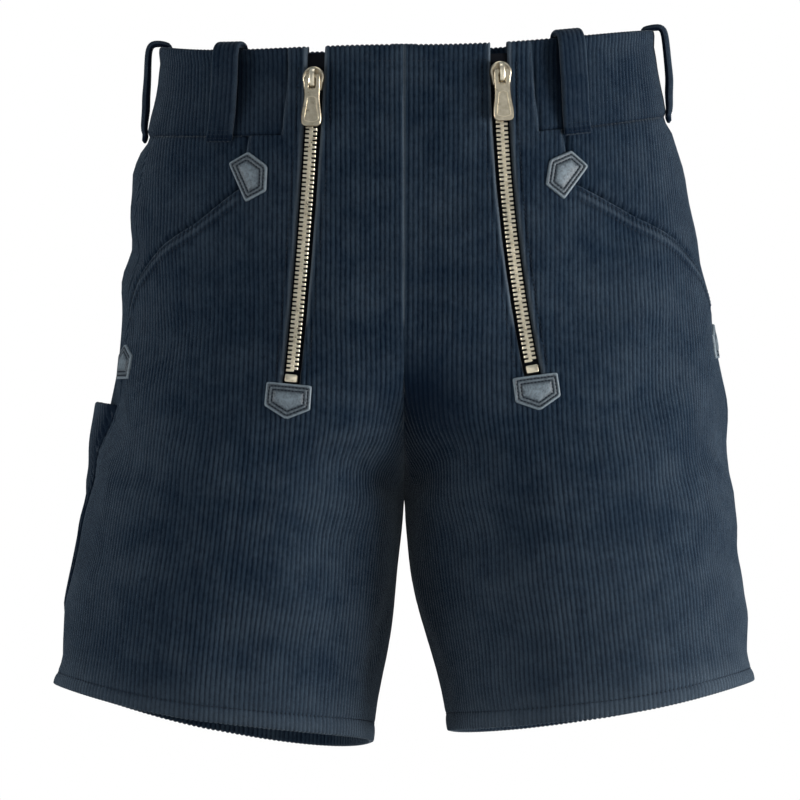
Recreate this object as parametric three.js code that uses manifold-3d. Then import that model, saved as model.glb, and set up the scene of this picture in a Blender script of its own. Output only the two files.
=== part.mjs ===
// Wide-wale corduroy work shorts with a front flap between two brass zips, filled out as worn and hollow.
// Millimetres. +Z is up, the front faces -Y, and the origin is the middle of the waist, where the wearer
// holds the shorts. "right" is the wearer's right half (-X) and "left" the wearer's left half (+X).

import * as THREE from 'three';
import { mergeVertices } from 'three/addons/utils/BufferGeometryUtils.js';
import Module from 'manifold-3d';

const wasm = await Module();
wasm.setup();

// ---------------------------------------------------------------- driving dimensions

const CLOTH = 2.0; // wall of corduroy, wale to back
const SEAM_GAP = 0.3; // room between two pieces that a seam joins
const LAID_ON = 0.4; // room between a panel and what is sewn on it
const BAND_HEIGHT = 58;
const FORK_START = 165; // drop at which the body begins to part into two legs
const CROTCH_DROP = 294;
const HEM_DROP = 452;
const INSEAM_Y = 8; // the inseam lies a little behind the middle of the leg

// How each half is cut. A place on the cloth is (girth, drop): girth runs from 0 at the centre front, or at
// the inseam of a leg, round the outside to 1 at the centre back; drop is the way down from the top edge.
//   level  height of the row in the middle       lift   how much higher the row is at its outer side
//   out    where the row's outer side lies        gap   from the middle plane to the leg's inner side
//   sag    how far front and back hang below the row's own line
//   tilt   how far the back lies above (+) or below (-) the front: half of it each, most at the inner side
const HALF = {
  right: {
    sign: -1,
    rows: [
      { drop: 0, level: 28, lift: 0, out: 158.6, gap: 0.05, sag: 2.5, tilt: -1 },
      { drop: 30, level: -2, lift: 0, out: 161, gap: 0.05, sag: 1.5, tilt: -1 },
      { drop: 58, level: -30, lift: 0, out: 168, gap: 0.05, sag: 0.5, tilt: -0.5 },
      { drop: 85, level: -57, lift: 0, out: 175.5, gap: 0.05, sag: 0, tilt: 0 },
      { drop: 120, level: -92, lift: 0, out: 178, gap: 0.05, sag: 0, tilt: 0 },
      { drop: 160, level: -132, lift: 0, out: 182, gap: 0.05, sag: 0, tilt: 0 },
      { drop: 200, level: -172, lift: 0, out: 186, gap: 0.05, sag: 0, tilt: 0 },
      { drop: 240, level: -212, lift: 1, out: 192, gap: 0.05, sag: 0, tilt: 0 },
      { drop: 270, level: -242, lift: 2, out: 199, gap: 0.05, sag: 0, tilt: 0 },
      { drop: 294, level: -266, lift: 4, out: 205, gap: 0.05, sag: 0, tilt: 0 },
      { drop: 316, level: -288, lift: 7, out: 208.5, gap: 1.0, sag: 0.5, tilt: -0.4 },
      { drop: 345, level: -317, lift: 12, out: 212.5, gap: 4.4, sag: 1.5, tilt: -1.1 },
      { drop: 390, level: -362, lift: 21, out: 219.5, gap: 9.8, sag: 5, tilt: -2.3 },
      { drop: 430, level: -402, lift: 31, out: 224.5, gap: 17.5, sag: 7.5, tilt: -3.2 },
      { drop: 452, level: -424, lift: 38, out: 228, gap: 20, sag: 9, tilt: -3.6 },
    ],
    sideSeam: { body: 0.42, leg: 0.497 },
    bandEnd: 0.143, // the waistband stops here, short of the zip
    frontLoop: 0.236,
    sideLoop: 0.5,
    sidePatchDrop: 205,
    zip: { top: -57.2, middle: -63.7, foot: -73.1, footHeight: -190, sliderHeight: 7.5 },
    pocketPatch: { x: -108, z: -61, turn: -61 }, // middle of the patch's straight base, turn from pointing up
    zipPatch: { x: -74.1, z: -191, turn: 175 },
  },
  left: {
    sign: 1,
    rows: [
      { drop: 0, level: 28, lift: 11, out: 162, gap: 0.05, sag: -1.5, tilt: -1 },
      { drop: 30, level: -2, lift: 11, out: 166, gap: 0.05, sag: -1, tilt: -1 },
      { drop: 58, level: -31, lift: 14, out: 171.5, gap: 0.05, sag: -0.5, tilt: -0.5 },
      { drop: 85, level: -57, lift: 12, out: 179, gap: 0.05, sag: 0, tilt: 0 },
      { drop: 120, level: -92, lift: 8, out: 187.5, gap: 0.05, sag: 0, tilt: 0 },
      { drop: 160, level: -132, lift: 4, out: 197.5, gap: 0.05, sag: 0, tilt: 0 },
      { drop: 200, level: -172, lift: 2, out: 204, gap: 0.05, sag: 0, tilt: 0 },
      { drop: 240, level: -212, lift: 1, out: 209, gap: 0.05, sag: 0, tilt: 0 },
      { drop: 270, level: -242, lift: 2, out: 211, gap: 0.05, sag: 0, tilt: 0 },
      { drop: 294, level: -266, lift: 4, out: 213.5, gap: 0.05, sag: 0, tilt: 0 },
      { drop: 316, level: -287, lift: 7, out: 215.5, gap: 0.6, sag: 0.5, tilt: -0.2 },
      { drop: 345, level: -315, lift: 12, out: 218, gap: 4.0, sag: 1.5, tilt: -0.5 },
      { drop: 390, level: -358, lift: 20, out: 221, gap: 15, sag: 4, tilt: -1 },
      { drop: 430, level: -396, lift: 28, out: 225, gap: 25, sag: 7, tilt: -1.3 },
      { drop: 452, level: -417, lift: 33, out: 227.7, gap: 28.6, sag: 8, tilt: -1.5 },
    ],
    sideSeam: { body: 0.48, leg: 0.487 },
    bandEnd: 0.156,
    frontLoop: 0.211,
    sideLoop: 0.485,
    sidePatchDrop: 193,
    zip: { top: 61.8, middle: 67.6, foot: 83.2, footHeight: -184, sliderHeight: 11 },
    pocketPatch: { x: 111.5, z: -61, turn: 45 },
    zipPatch: { x: 84.5, z: -185.5, turn: 187 },
  },
};

// Both halves' section: depth of the front and of the back from the middle plane, and fullness, the power
// of the superellipse (2 is an ellipse).
const SECTION = [
  { drop: 0, front: 106, back: 112, fullness: 2.25 },
  { drop: 30, front: 109, back: 116, fullness: 2.25 },
  { drop: 58, front: 113, back: 124, fullness: 2.25 },
  { drop: 85, front: 117, back: 134, fullness: 2.25 },
  { drop: 120, front: 124, back: 145, fullness: 2.25 },
  { drop: 160, front: 130, back: 152, fullness: 2.25 },
  { drop: 200, front: 134, back: 152, fullness: 2.25 },
  { drop: 240, front: 133, back: 145, fullness: 2.2 },
  { drop: 270, front: 129, back: 137, fullness: 2.2 },
  { drop: 294, front: 124, back: 131, fullness: 2.15 },
  { drop: 316, front: 121, back: 126, fullness: 2.15 },
  { drop: 345, front: 117, back: 120, fullness: 2.15 },
  { drop: 390, front: 111, back: 114, fullness: 2.15 },
  { drop: 430, front: 107, back: 110, fullness: 2.15 },
  { drop: 452, front: 105, back: 108, fullness: 2.15 },
];

// The slanted mouth of the hip pocket, from its front end to the side seam.
const MOUTH_START = 0.19; // girth of the front end
const MOUTH = [
  { along: 0, drop: 92 },
  { along: 0.3, drop: 114 },
  { along: 0.6, drop: 131 },
  { along: 0.85, drop: 148 },
  { along: 1, drop: 170 },
];

const PATCH = { base: 29.5, side: 15.5, peak: 22.5, tip: 1.2, thickness: 1.5 };
const LOOP = { width: 18.5, thickness: 2.6, standOff: 7.4, above: 3.5, below: 3, sewn: 2, ramp: 9 };
// The side seam goes over to its place on the leg between these drops.
const SEAM_SWING = { from: 205, to: 300 };
const RULER_POCKET = {
  behindSeam: 5, top: 233, length: 155, width: 60,
  mouth: 9, opensFrom: -20, closesAt: 78, // how far the mouth would stand off, and the slope down to nothing
};
const ZIP = {
  topDrop: 5, // the tape's upper end
  tapeWidth: 27,
  tapeDepth: 3.1, // the tape's face, under the cloth's face
  tape: 0.9,
  slit: 5.8, // half the width left open in the front
  chain: 3.7, // half the chain's width
  chainDepth: 2.75,
  chainProud: 0.8,
  stop: 5,
  tapeEnd: 1.03, // the tape's lower end, as a share of the zip
  steps: 14, // rows of faces along the zip
};
const SLIDER = { width: 14, foot: 11, above: 6.5, below: 9, face: 1.2, plate: 1.9, headSteps: 12 };
const CROWN = { width: 3, bar: 1.3, top: 5.2, foot: 7.2, slope: 1.2, sunk: 0.5 };
const PULL = {
  length: 32.7, neck: 10, shoulder: 11, end: 13.3, // widths at the bar, at the shoulder and at the end
  neckLength: 13, shoulderAt: 18, endAt: 26, corner: 3,
  thickness: 1.6, bar: 1.1, window: 2.2, windowLength: 8.6, clearance: 0.35,
};

// ---------------------------------------------------------------- the cloth's surface

const mix = THREE.MathUtils.lerp;

// A column of a table at a place between its rows: a cubic whose slope at a row is that of the line through
// the rows on either side. Past the ends it goes on straight.
function column(rows, key, name, at) {
  const slope = (i) => {
    const a = rows[Math.max(i - 1, 0)];
    const b = rows[Math.min(i + 1, rows.length - 1)];
    return (b[name] - a[name]) / (b[key] - a[key]);
  };
  const last = rows.length - 1;
  if (at <= rows[0][key]) return rows[0][name] + slope(0) * (at - rows[0][key]);
  if (at >= rows[last][key]) return rows[last][name] + slope(last) * (at - rows[last][key]);
  const i = rows.findIndex((row) => row[key] > at) - 1;
  const step = rows[i + 1][key] - rows[i][key];
  const t = (at - rows[i][key]) / step;
  const ends = mix(rows[i][name], rows[i + 1][name], t * t * (3 - 2 * t));
  return ends + step * t * (1 - t) * ((1 - t) * slope(i) - t * slope(i + 1));
}

const power = (value, exponent) => Math.sign(value) * Math.abs(value) ** exponent;

// How far the section has parted into two legs: 0 in the body, 1 from the crotch down.
const parting = (drop) => THREE.MathUtils.smoothstep(drop, FORK_START, CROTCH_DROP);

// The outer face of the cloth at (girth, drop). Each half is a superellipse cut off by the middle plane. In
// the body its middle lies on that plane, so that half of it is left. Towards the crotch the middle moves
// out until the whole ring is left, which is the leg, and the cut end draws the crotch seam on the way.
function skin(half, girth, drop) {
  const own = (name) => column(half.rows, 'drop', name, drop);
  const shared = (name) => column(SECTION, 'drop', name, drop);
  const parted = parting(drop);
  const fullness = shared('fullness');
  const middleX = (own('gap') + parted * own('out')) / (1 + parted);
  const middleY = INSEAM_Y * parted;
  const endTurn = Math.acos(-(parted ** (fullness / 2))); // turn from the outer side to the cut end
  const turn = endTurn * (2 * girth - 1);
  const outwards = power(Math.cos(turn), 2 / fullness);
  const backwards = power(Math.sin(turn), 2 / fullness);
  const depth = backwards < 0 ? shared('front') + middleY : shared('back') - middleY;
  const z = own('level')
    + own('lift') * (1 - Math.cos(2 * Math.PI * girth)) / 2
    - own('sag') * (1 - Math.cos(4 * Math.PI * girth)) / 2
    + own('tilt') * backwards * (1 - outwards);
  const x = half.sign * (middleX + (own('out') - middleX) * outwards);
  return new THREE.Vector3(x, middleY + depth * backwards, z);
}

// The surface's two directions at a place, each as millimetres for one unit of girth or of drop, and the
// way out of it.
const GIRTH_STEP = 1e-4;
const DROP_STEP = 0.05;
function directions(half, girth, drop) {
  const round = skin(half, girth + GIRTH_STEP, drop).sub(skin(half, girth - GIRTH_STEP, drop));
  const down = skin(half, girth, drop + DROP_STEP).sub(skin(half, girth, drop - DROP_STEP));
  round.divideScalar(2 * GIRTH_STEP);
  down.divideScalar(2 * DROP_STEP);
  const out = round.clone().cross(down).multiplyScalar(-half.sign).normalize();
  return { round, down, out };
}

// The point that stands off the cloth's face by `off`, or lies under it where that is negative.
function offSkin(half, place, off) {
  const { out } = directions(half, place.girth, place.drop);
  return skin(half, place.girth, place.drop).addScaledVector(out, off);
}

// The place that is seen, square to the cloth at `place`, `across` millimetres along the row towards the
// side seam and `below` millimetres down.
function shifted(half, place, across, below) {
  const { round, down } = directions(half, place.girth, place.drop);
  const along = round.clone().normalize();
  const fall = down.clone().addScaledVector(along, -down.dot(along)).normalize();
  const from = skin(half, place.girth, place.drop);
  let { girth, drop } = place;
  for (let pass = 0; pass < 4; pass++) {
    const way = directions(half, girth, drop);
    const done = skin(half, girth, drop).sub(from);
    const missAcross = across - done.dot(along);
    const missBelow = below - done.dot(fall);
    const size = way.round.dot(along) * way.down.dot(fall) - way.round.dot(fall) * way.down.dot(along);
    girth += (missAcross * way.down.dot(fall) - missBelow * way.down.dot(along)) / size;
    drop += (missBelow * way.round.dot(along) - missAcross * way.round.dot(fall)) / size;
  }
  return { girth, drop };
}

// The place on the front that is seen at x and z.
function onFront(half, x, z) {
  const place = { girth: 0.2, drop: HALF.right.rows[0].level - z };
  for (let pass = 0; pass < 12; pass++) {
    const { round, down } = directions(half, place.girth, place.drop);
    const miss = skin(half, place.girth, place.drop);
    place.girth = THREE.MathUtils.clamp(place.girth + (x - miss.x) / round.x, 0.01, 0.45);
    place.drop += (z - miss.z) / down.z;
  }
  return place;
}

// ---------------------------------------------------------------- solids

const range = (count) => Array.from({ length: count + 1 }, (_, i) => i / count);

// A closed mesh, with its faces turned round where they enclose a negative volume.
function geometryOf(points, faces) {
  const volume = faces.reduce((sum, [a, b, c]) => sum + points[a].dot(points[b].clone().cross(points[c])), 0);
  if (volume < 0) faces.forEach((face) => face.reverse());
  const geometry = new THREE.BufferGeometry();
  geometry.setAttribute('position', new THREE.Float32BufferAttribute(points.flatMap((p) => p.toArray()), 3));
  geometry.setIndex(faces.flat());
  return geometry;
}

// A closed wall over a grid: place(s, t) gives each place, `outer` and `inner` how far the two faces stand
// off the cloth's face, as numbers or as functions of s and t.
function wall(half, across, along, place, outer, inner) {
  const value = (off, s, t) => (typeof off === 'function' ? off(s, t) : off);
  const point = (off, s, t) => offSkin(half, place(s, t), value(off, s, t));
  const sheet = (off) => along.flatMap((t) => across.map((s) => point(off, s, t)));
  const points = [...sheet(outer), ...sheet(inner)];
  const columns = across.length;
  const rows = along.length;
  const back = columns * rows;
  const faces = [];
  const quad = (a, b, c, d) => faces.push([a, b, c], [a, c, d]);
  for (let r = 0; r < rows - 1; r++) {
    for (let c = 0; c < columns - 1; c++) {
      const a = r * columns + c;
      quad(a, a + columns, a + columns + 1, a + 1);
      quad(back + a, back + a + 1, back + a + columns + 1, back + a + columns);
    }
    const first = r * columns;
    const end = first + columns - 1;
    quad(first, back + first, back + first + columns, first + columns);
    quad(end, end + columns, back + end + columns, back + end);
  }
  for (let c = 0; c < columns - 1; c++) {
    const low = (rows - 1) * columns + c;
    quad(c, c + 1, back + c + 1, back + c);
    quad(low, back + low, back + low + 1, low + 1);
  }
  return geometryOf(points, faces);
}

function solidOf(geometry) {
  const bare = geometry.clone();
  bare.deleteAttribute('normal');
  bare.deleteAttribute('uv');
  const merged = mergeVertices(bare, 1e-4);
  const vertProperties = new Float32Array(merged.attributes.position.array);
  const triVerts = new Uint32Array(merged.index.array);
  return new wasm.Manifold(new wasm.Mesh({ numProp: 3, vertProperties, triVerts }));
}

function geometryFrom(solid) {
  const mesh = solid.getMesh();
  const geometry = new THREE.BufferGeometry();
  geometry.setAttribute('position', new THREE.BufferAttribute(new Float32Array(mesh.vertProperties), 3));
  geometry.setIndex(new THREE.BufferAttribute(new Uint32Array(mesh.triVerts), 1));
  return geometry;
}

const cut = (geometry, ...cutters) => geometryFrom(
  cutters.reduce((solid, cutter) => solid.subtract(solidOf(cutter)), solidOf(geometry)),
);
const join = (...geometries) => geometryFrom(
  geometries.slice(1).reduce((solid, more) => solid.add(solidOf(more)), solidOf(geometries[0])),
);

// A frame on the cloth at a place: x across towards the wearer's left, y up, z out.
function frameOn(half, place) {
  const { down, out } = directions(half, place.girth, place.drop);
  const up = down.clone().negate().addScaledVector(out, down.dot(out)).normalize();
  const across = up.clone().cross(out).normalize();
  const matrix = new THREE.Matrix4().makeBasis(across, up, out);
  return matrix.setPosition(skin(half, place.girth, place.drop));
}

// ---------------------------------------------------------------- materials

const look = (color, roughness, metalness) => () => (
  new THREE.MeshStandardMaterial({ color, roughness, metalness })
);
const corduroy = look(0x26323f, 0.95, 0);
const leather = look(0x4c565e, 0.45, 0);
const tapeCloth = look(0x0c0e12, 0.9, 0);
const brass = look(0xc9b183, 0.3, 1);

const shorts = new THREE.Group();
function add(name, geometry, material) {
  const mesh = new THREE.Mesh(geometry, material());
  mesh.name = name;
  shorts.add(mesh);
}

// ---------------------------------------------------------------- panels

const halfGap = (half, girth, drop) => SEAM_GAP / 2 / directions(half, girth, drop).round.length();

// Rows of a panel: even steps in the body and the leg, and steps of equal turn round the crotch curve.
const BODY_ROWS = [0, 29, 58, 90, 123, 157];
const forkRows = range(7).map((turn) => mix(FORK_START, CROTCH_DROP, Math.sin((turn * Math.PI) / 2)));
const LEG_ROWS = [305, 318, 336, 362, 392, 424, HEM_DROP];
const PANEL_ROWS = [...BODY_ROWS, ...forkRows, ...LEG_ROWS];
const BAND_ROWS = [0, 20, 40, BAND_HEIGHT];
const PANEL_COLUMNS = 15;
const CUTTER = {
  reach: 8, // how far a cutting wall stands out on either side of the cloth
  above: 12, // how far it starts over the top edge
  underBand: 5, // how far a lower cut runs up into the waistband's
  pastSeam: 0.02, // how far it runs past the side seam, in girth
  pastPocket: 1.1, // where the pocket's cut ends, as a share of the mouth
  zipStart: -0.08, // ends of the zip's slit, as shares of the zip
  zipEnd: 1.015,
};

// The side seam's girth: it runs further back on the leg than on the body.
const seamGirth = (half, drop) => mix(
  half.sideSeam.body, half.sideSeam.leg, THREE.MathUtils.smoothstep(drop, SEAM_SWING.from, SEAM_SWING.to),
);

const mouthDrop = (half, girth) => column(
  MOUTH, 'along', 'drop', (girth - MOUTH_START) / (half.sideSeam.body - MOUTH_START),
);

// A panel of one half, between the girths that from(drop) and to(drop) give.
function panel(half, from, to, rows) {
  const place = (s, drop) => {
    const start = from(drop) + halfGap(half, from(drop), drop);
    const end = to(drop) - halfGap(half, to(drop), drop);
    return { girth: mix(start, end, s), drop };
  };
  return wall(half, range(PANEL_COLUMNS), rows, place, 0, -CLOTH);
}

// The middle line of a zip, t from 0 at the top of its tape to 1 at its foot: a parabola in x.
function zipPlace(half, t) {
  const { top, middle, foot, footHeight } = half.zip;
  const topHeight = half.rows[0].level - ZIP.topDrop;
  const x = top * (1 - t) * (1 - 2 * t) + 4 * middle * t * (1 - t) + foot * t * (2 * t - 1);
  return onFront(half, x, mix(topHeight, footHeight, t));
}

// A strip along the zip, `side` to each side of its middle line, from t0 to t1.
function zipStrip(half, side, t0, t1, steps, outer, inner) {
  const place = (s, t) => shifted(half, zipPlace(half, mix(t0, t1, t)), mix(-side, side, s), 0);
  return wall(half, range(2), range(steps), place, outer, inner);
}

const POCKET_COLUMNS = 9;
const MOUTH_LENGTH = 130; // of the pocket's slanted edge, near enough to turn a gap into a share of it
const pocketGirth = (half, s) => mix(
  MOUTH_START, half.sideSeam.body - halfGap(half, half.sideSeam.body, BAND_HEIGHT), s,
);

function front(half) {
  const bandCut = wall(
    half, range(14), [-CUTTER.above, ...BAND_ROWS, BAND_HEIGHT + SEAM_GAP],
    (s, drop) => ({ girth: mix(half.bandEnd, half.sideSeam.body + CUTTER.pastSeam, s), drop }),
    CUTTER.reach, -CUTTER.reach,
  );
  const pocketCut = wall(
    half, [-SEAM_GAP / MOUTH_LENGTH, ...range(POCKET_COLUMNS), CUTTER.pastPocket], range(4),
    (s, t) => {
      const girth = pocketGirth(half, s);
      return { girth, drop: mix(BAND_HEIGHT - CUTTER.underBand, mouthDrop(half, girth) + SEAM_GAP, t) };
    },
    CUTTER.reach, -CUTTER.reach,
  );
  const { reach, zipStart, zipEnd } = CUTTER;
  const slit = zipStrip(half, ZIP.slit, zipStart, zipEnd, ZIP.steps, reach, -reach);
  const whole = panel(half, () => 0, (drop) => seamGirth(half, drop), PANEL_ROWS);
  return cut(whole, bandCut, pocketCut, slit);
}

function back(half) {
  const rows = [BAND_HEIGHT + SEAM_GAP, ...PANEL_ROWS.filter((drop) => drop > BAND_HEIGHT)];
  return panel(half, (drop) => seamGirth(half, drop), () => 1, rows);
}

function pocketPiece(half) {
  const place = (s, t) => {
    const girth = pocketGirth(half, s);
    return { girth, drop: mix(BAND_HEIGHT + SEAM_GAP, mouthDrop(half, girth), t) };
  };
  return wall(half, range(POCKET_COLUMNS), range(4), place, 0, -CLOTH);
}

function waistband(half) {
  const start = half.bandEnd + 2 * halfGap(half, half.bandEnd, 0);
  const end = 1 - halfGap(half, 1, 0);
  const place = (s, drop) => ({ girth: mix(start, end, s), drop });
  return wall(half, range(26), BAND_ROWS, place, 0, -CLOTH);
}

// ---------------------------------------------------------------- what is sewn on

// A strap of cloth that stands off the band between its two sewn ends.
function beltLoop(half, girth) {
  const reach = LOOP.above + BAND_HEIGHT + LOOP.below;
  const middle = { girth, drop: BAND_HEIGHT / 2 };
  const place = (s, t) => ({
    girth: shifted(half, middle, mix(-LOOP.width / 2, LOOP.width / 2, s), 0).girth,
    drop: mix(-LOOP.above, BAND_HEIGHT + LOOP.below, t),
  });
  const inner = (s, t) => {
    const fromEnd = Math.min(t, 1 - t) * reach;
    const rise = THREE.MathUtils.smoothstep(fromEnd, LOOP.sewn, LOOP.ramp);
    return LAID_ON + LOOP.standOff * rise;
  };
  return wall(half, range(3), range(18), place, (s, t) => inner(s, t) + LOOP.thickness, inner);
}

// A leather patch with a straight base, two sides and a point, turned on the cloth by `turn` degrees.
function patch(half, base, turn) {
  const angle = THREE.MathUtils.degToRad(turn) * half.sign;
  const place = (s, t) => {
    const up = t * PATCH.peak;
    const taper = THREE.MathUtils.clamp((up - PATCH.side) / (PATCH.peak - PATCH.side), 0, 1);
    const across = mix(-1, 1, s) * mix(PATCH.base / 2, PATCH.tip, taper);
    return shifted(
      half, base,
      across * Math.cos(angle) - up * Math.sin(angle),
      -(across * Math.sin(angle) + up * Math.cos(angle)),
    );
  };
  const along = [0, 0.33, PATCH.side / PATCH.peak, 0.85, 1];
  return wall(half, range(6), along, place, LAID_ON + PATCH.thickness, LAID_ON);
}

// A long flat pocket for a folding rule, just behind the side seam: its mouth stands open and it closes
// down to the cloth below.
function rulerPocket(half) {
  const place = (s, t) => {
    const drop = RULER_POCKET.top + t * RULER_POCKET.length;
    const edge = { girth: seamGirth(half, drop), drop };
    return { girth: shifted(half, edge, RULER_POCKET.behindSeam + s * RULER_POCKET.width, 0).girth, drop };
  };
  const inner = (s, t) => {
    const down = t * RULER_POCKET.length;
    const open = 1 - THREE.MathUtils.smoothstep(down, RULER_POCKET.opensFrom, RULER_POCKET.closesAt);
    const bow = 1 - (2 * s - 1) ** 4;
    return LAID_ON + RULER_POCKET.mouth * open * bow;
  };
  return wall(half, range(10), range(9), place, (s, t) => inner(s, t) + CLOTH, inner);
}

// ---------------------------------------------------------------- zips

function extruded(outline, from, to, holes = []) {
  const shape = new THREE.Shape(outline);
  shape.holes = holes.map((hole) => new THREE.Path(hole));
  const geometry = new THREE.ExtrudeGeometry(shape, { depth: to - from, bevelEnabled: false });
  return geometry.translate(0, 0, from);
}

const corner = (x, y) => new THREE.Vector2(x, y);

// Points of an arc about (x, y), from one angle to another in degrees.
function arc(x, y, radius, from, to, steps) {
  return range(steps).map((t) => {
    const angle = THREE.MathUtils.degToRad(mix(from, to, t));
    return corner(x + radius * Math.cos(angle), y + radius * Math.sin(angle));
  });
}

const plateTop = ZIP.chainProud + SLIDER.face + SLIDER.plate;
const pinHeight = plateTop + Math.hypot(PULL.bar, PULL.thickness / 2) + PULL.clearance;
const crownUnder = pinHeight + Math.hypot(PULL.bar, PULL.thickness / 2) + PULL.clearance;

// The slider's upper plate, round at the top and narrower at its foot, with the crown that holds the pull.
// y is 0 at the pull's axis.
function slider() {
  const headRadius = SLIDER.width / 2;
  const headMiddle = SLIDER.above - headRadius;
  const outline = [
    ...arc(0, headMiddle, headRadius, -20, 200, SLIDER.headSteps),
    corner(-SLIDER.foot / 2, -SLIDER.below),
    corner(SLIDER.foot / 2, -SLIDER.below),
  ];
  const plate = extruded(outline, ZIP.chainProud + SLIDER.face, plateTop);
  const { top, bar, slope } = CROWN;
  const foot = -CROWN.foot;
  const root = plateTop - CROWN.sunk; // the crown's two ends are let into the plate
  const crownTop = crownUnder + bar;
  const bridge = [
    corner(foot, root), corner(foot + bar, root),
    corner(foot + bar + slope, crownUnder), corner(top - bar - slope, crownUnder),
    corner(top - bar, root), corner(top, root),
    corner(top - slope, crownTop), corner(foot + slope, crownTop),
  ];
  const crown = extruded(bridge, -CROWN.width / 2, CROWN.width / 2);
  const turned = new THREE.Matrix4().makeBasis(
    new THREE.Vector3(0, 1, 0), new THREE.Vector3(0, 0, 1), new THREE.Vector3(1, 0, 0),
  );
  crown.applyMatrix4(turned);
  return join(plate, crown);
}

// The pull: a flat tab that hangs from a bar under the crown, which stands in the tab's window.
function pull() {
  const side = (sign) => [
    corner(sign * PULL.neck / 2, PULL.bar), corner(sign * PULL.neck / 2, -PULL.neckLength),
    corner(sign * PULL.shoulder / 2, -PULL.shoulderAt), corner(sign * PULL.end / 2, -PULL.endAt),
  ];
  const cornerX = PULL.end / 2 - PULL.corner;
  const cornerY = PULL.corner - PULL.length;
  const outline = [
    ...side(-1),
    ...arc(-cornerX, cornerY, PULL.corner, 180, 270, 4),
    ...arc(cornerX, cornerY, PULL.corner, 270, 360, 4),
    ...side(1).reverse(),
  ];
  const window = [
    corner(-PULL.window, -PULL.bar), corner(PULL.window, -PULL.bar),
    corner(PULL.window, -PULL.windowLength), corner(-PULL.window, -PULL.windowLength),
  ];
  return extruded(outline, pinHeight - PULL.thickness / 2, pinHeight + PULL.thickness / 2, [window]);
}

// The share of the zip's length at which its middle line is at a height.
function zipShare(half, height) {
  const topHeight = half.rows[0].level - ZIP.topDrop;
  return (topHeight - height) / (topHeight - half.zip.footHeight);
}

function addZip(side) {
  const half = HALF[side];
  const length = half.rows[0].level - ZIP.topDrop - half.zip.footHeight;
  const at = zipShare(half, half.zip.sliderHeight);
  const stopTop = 1 - ZIP.stop / length;
  const tapeInner = -ZIP.tapeDepth - ZIP.tape;
  const tape = zipStrip(half, ZIP.tapeWidth / 2, 0, ZIP.tapeEnd, ZIP.steps, -ZIP.tapeDepth, tapeInner);
  const chainTop = at - SLIDER.above / length / 2;
  const chainEnd = stopTop - SEAM_GAP / length;
  const metal = (from, to, steps) => (
    zipStrip(half, ZIP.chain, from, to, steps, ZIP.chainProud, -ZIP.chainDepth)
  );
  add(`zip_tape_${side}`, tape, tapeCloth);
  add(`zip_chain_${side}`, metal(chainTop, chainEnd, ZIP.steps), brass);
  add(`zip_stop_${side}`, metal(stopTop, 1, 1), brass);
  const onZip = frameOn(half, zipPlace(half, at));
  add(`zip_slider_${side}`, slider().applyMatrix4(onZip), brass);
  add(`zip_pull_${side}`, pull().applyMatrix4(onZip), brass);
}

// ---------------------------------------------------------------- the shorts

for (const side of ['right', 'left']) {
  const half = HALF[side];
  add(`front_${side}`, front(half), corduroy);
  add(`pocket_${side}`, pocketPiece(half), corduroy);
  add(`back_${side}`, back(half), corduroy);
  add(`band_${side}`, waistband(half), corduroy);
  add(`loop_front_${side}`, beltLoop(half, half.frontLoop), corduroy);
  add(`loop_side_${side}`, beltLoop(half, half.sideLoop), corduroy);
  addZip(side);
  const patchAt = ({ x, z, turn }) => patch(half, onFront(half, x, z), turn);
  add(`patch_pocket_${side}`, patchAt(half.pocketPatch), leather);
  add(`patch_zip_${side}`, patchAt(half.zipPatch), leather);
  const sideBase = { girth: half.sideSeam.body, drop: half.sidePatchDrop + PATCH.peak / 2 };
  add(`patch_side_${side}`, patch(half, sideBase, 0), leather);
}
add('loop_back', beltLoop(HALF.right, 1), corduroy);
add('ruler_pocket_right', rulerPocket(HALF.right), corduroy);

export default shorts;
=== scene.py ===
# %% [markdown]
# # Corduroy work shorts, cut and sewn
#
# Work shorts of this kind are cut from heavy wide-wale corduroy: two fronts, two backs, a waistband, and a
# flap that opens between two brass zips. The wales, which are the raised ribs of pile, run down every piece.
# This lesson first draws the one surface that all of the cloth lies on. It then cuts the panels out of that
# surface along the wales, and at last adds the loops, patches, zips and stitches that are sewn on.

import bpy
import numpy as np
from mathutils import Matrix


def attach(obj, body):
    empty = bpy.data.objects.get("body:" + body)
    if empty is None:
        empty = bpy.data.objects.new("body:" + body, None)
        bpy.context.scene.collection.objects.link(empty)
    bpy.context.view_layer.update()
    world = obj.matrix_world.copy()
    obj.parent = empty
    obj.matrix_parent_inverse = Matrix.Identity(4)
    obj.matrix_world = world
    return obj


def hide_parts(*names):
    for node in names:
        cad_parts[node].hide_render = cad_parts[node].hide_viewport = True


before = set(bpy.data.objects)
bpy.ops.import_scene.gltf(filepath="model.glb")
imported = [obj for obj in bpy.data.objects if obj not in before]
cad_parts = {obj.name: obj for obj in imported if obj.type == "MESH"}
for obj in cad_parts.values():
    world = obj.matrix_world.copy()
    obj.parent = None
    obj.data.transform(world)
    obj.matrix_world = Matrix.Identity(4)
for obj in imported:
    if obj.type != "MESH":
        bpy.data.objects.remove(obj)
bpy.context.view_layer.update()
METRE = 0.001  # a millimetre in metres: sizes below are millimetres until a mesh is made
dice = np.random.default_rng(11)
print("nodes in the frame:", len(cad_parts))

# %% [markdown]
# ## The pattern's sizes
#
# A place on the cloth has two numbers. Its drop is the way down from the top edge. Its girth runs from 0 at
# the centre front, or at the inseam of a leg, round the outside to 1 at the centre back. Each row of a table
# gives the sizes at one drop, and a smooth curve joins the rows.


# %% Tables with named columns
def table(names, *rows):
    """Columns by name, each an array, from rows of numbers."""
    return dict(zip(names.split(), np.array(rows, float).T))


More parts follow.
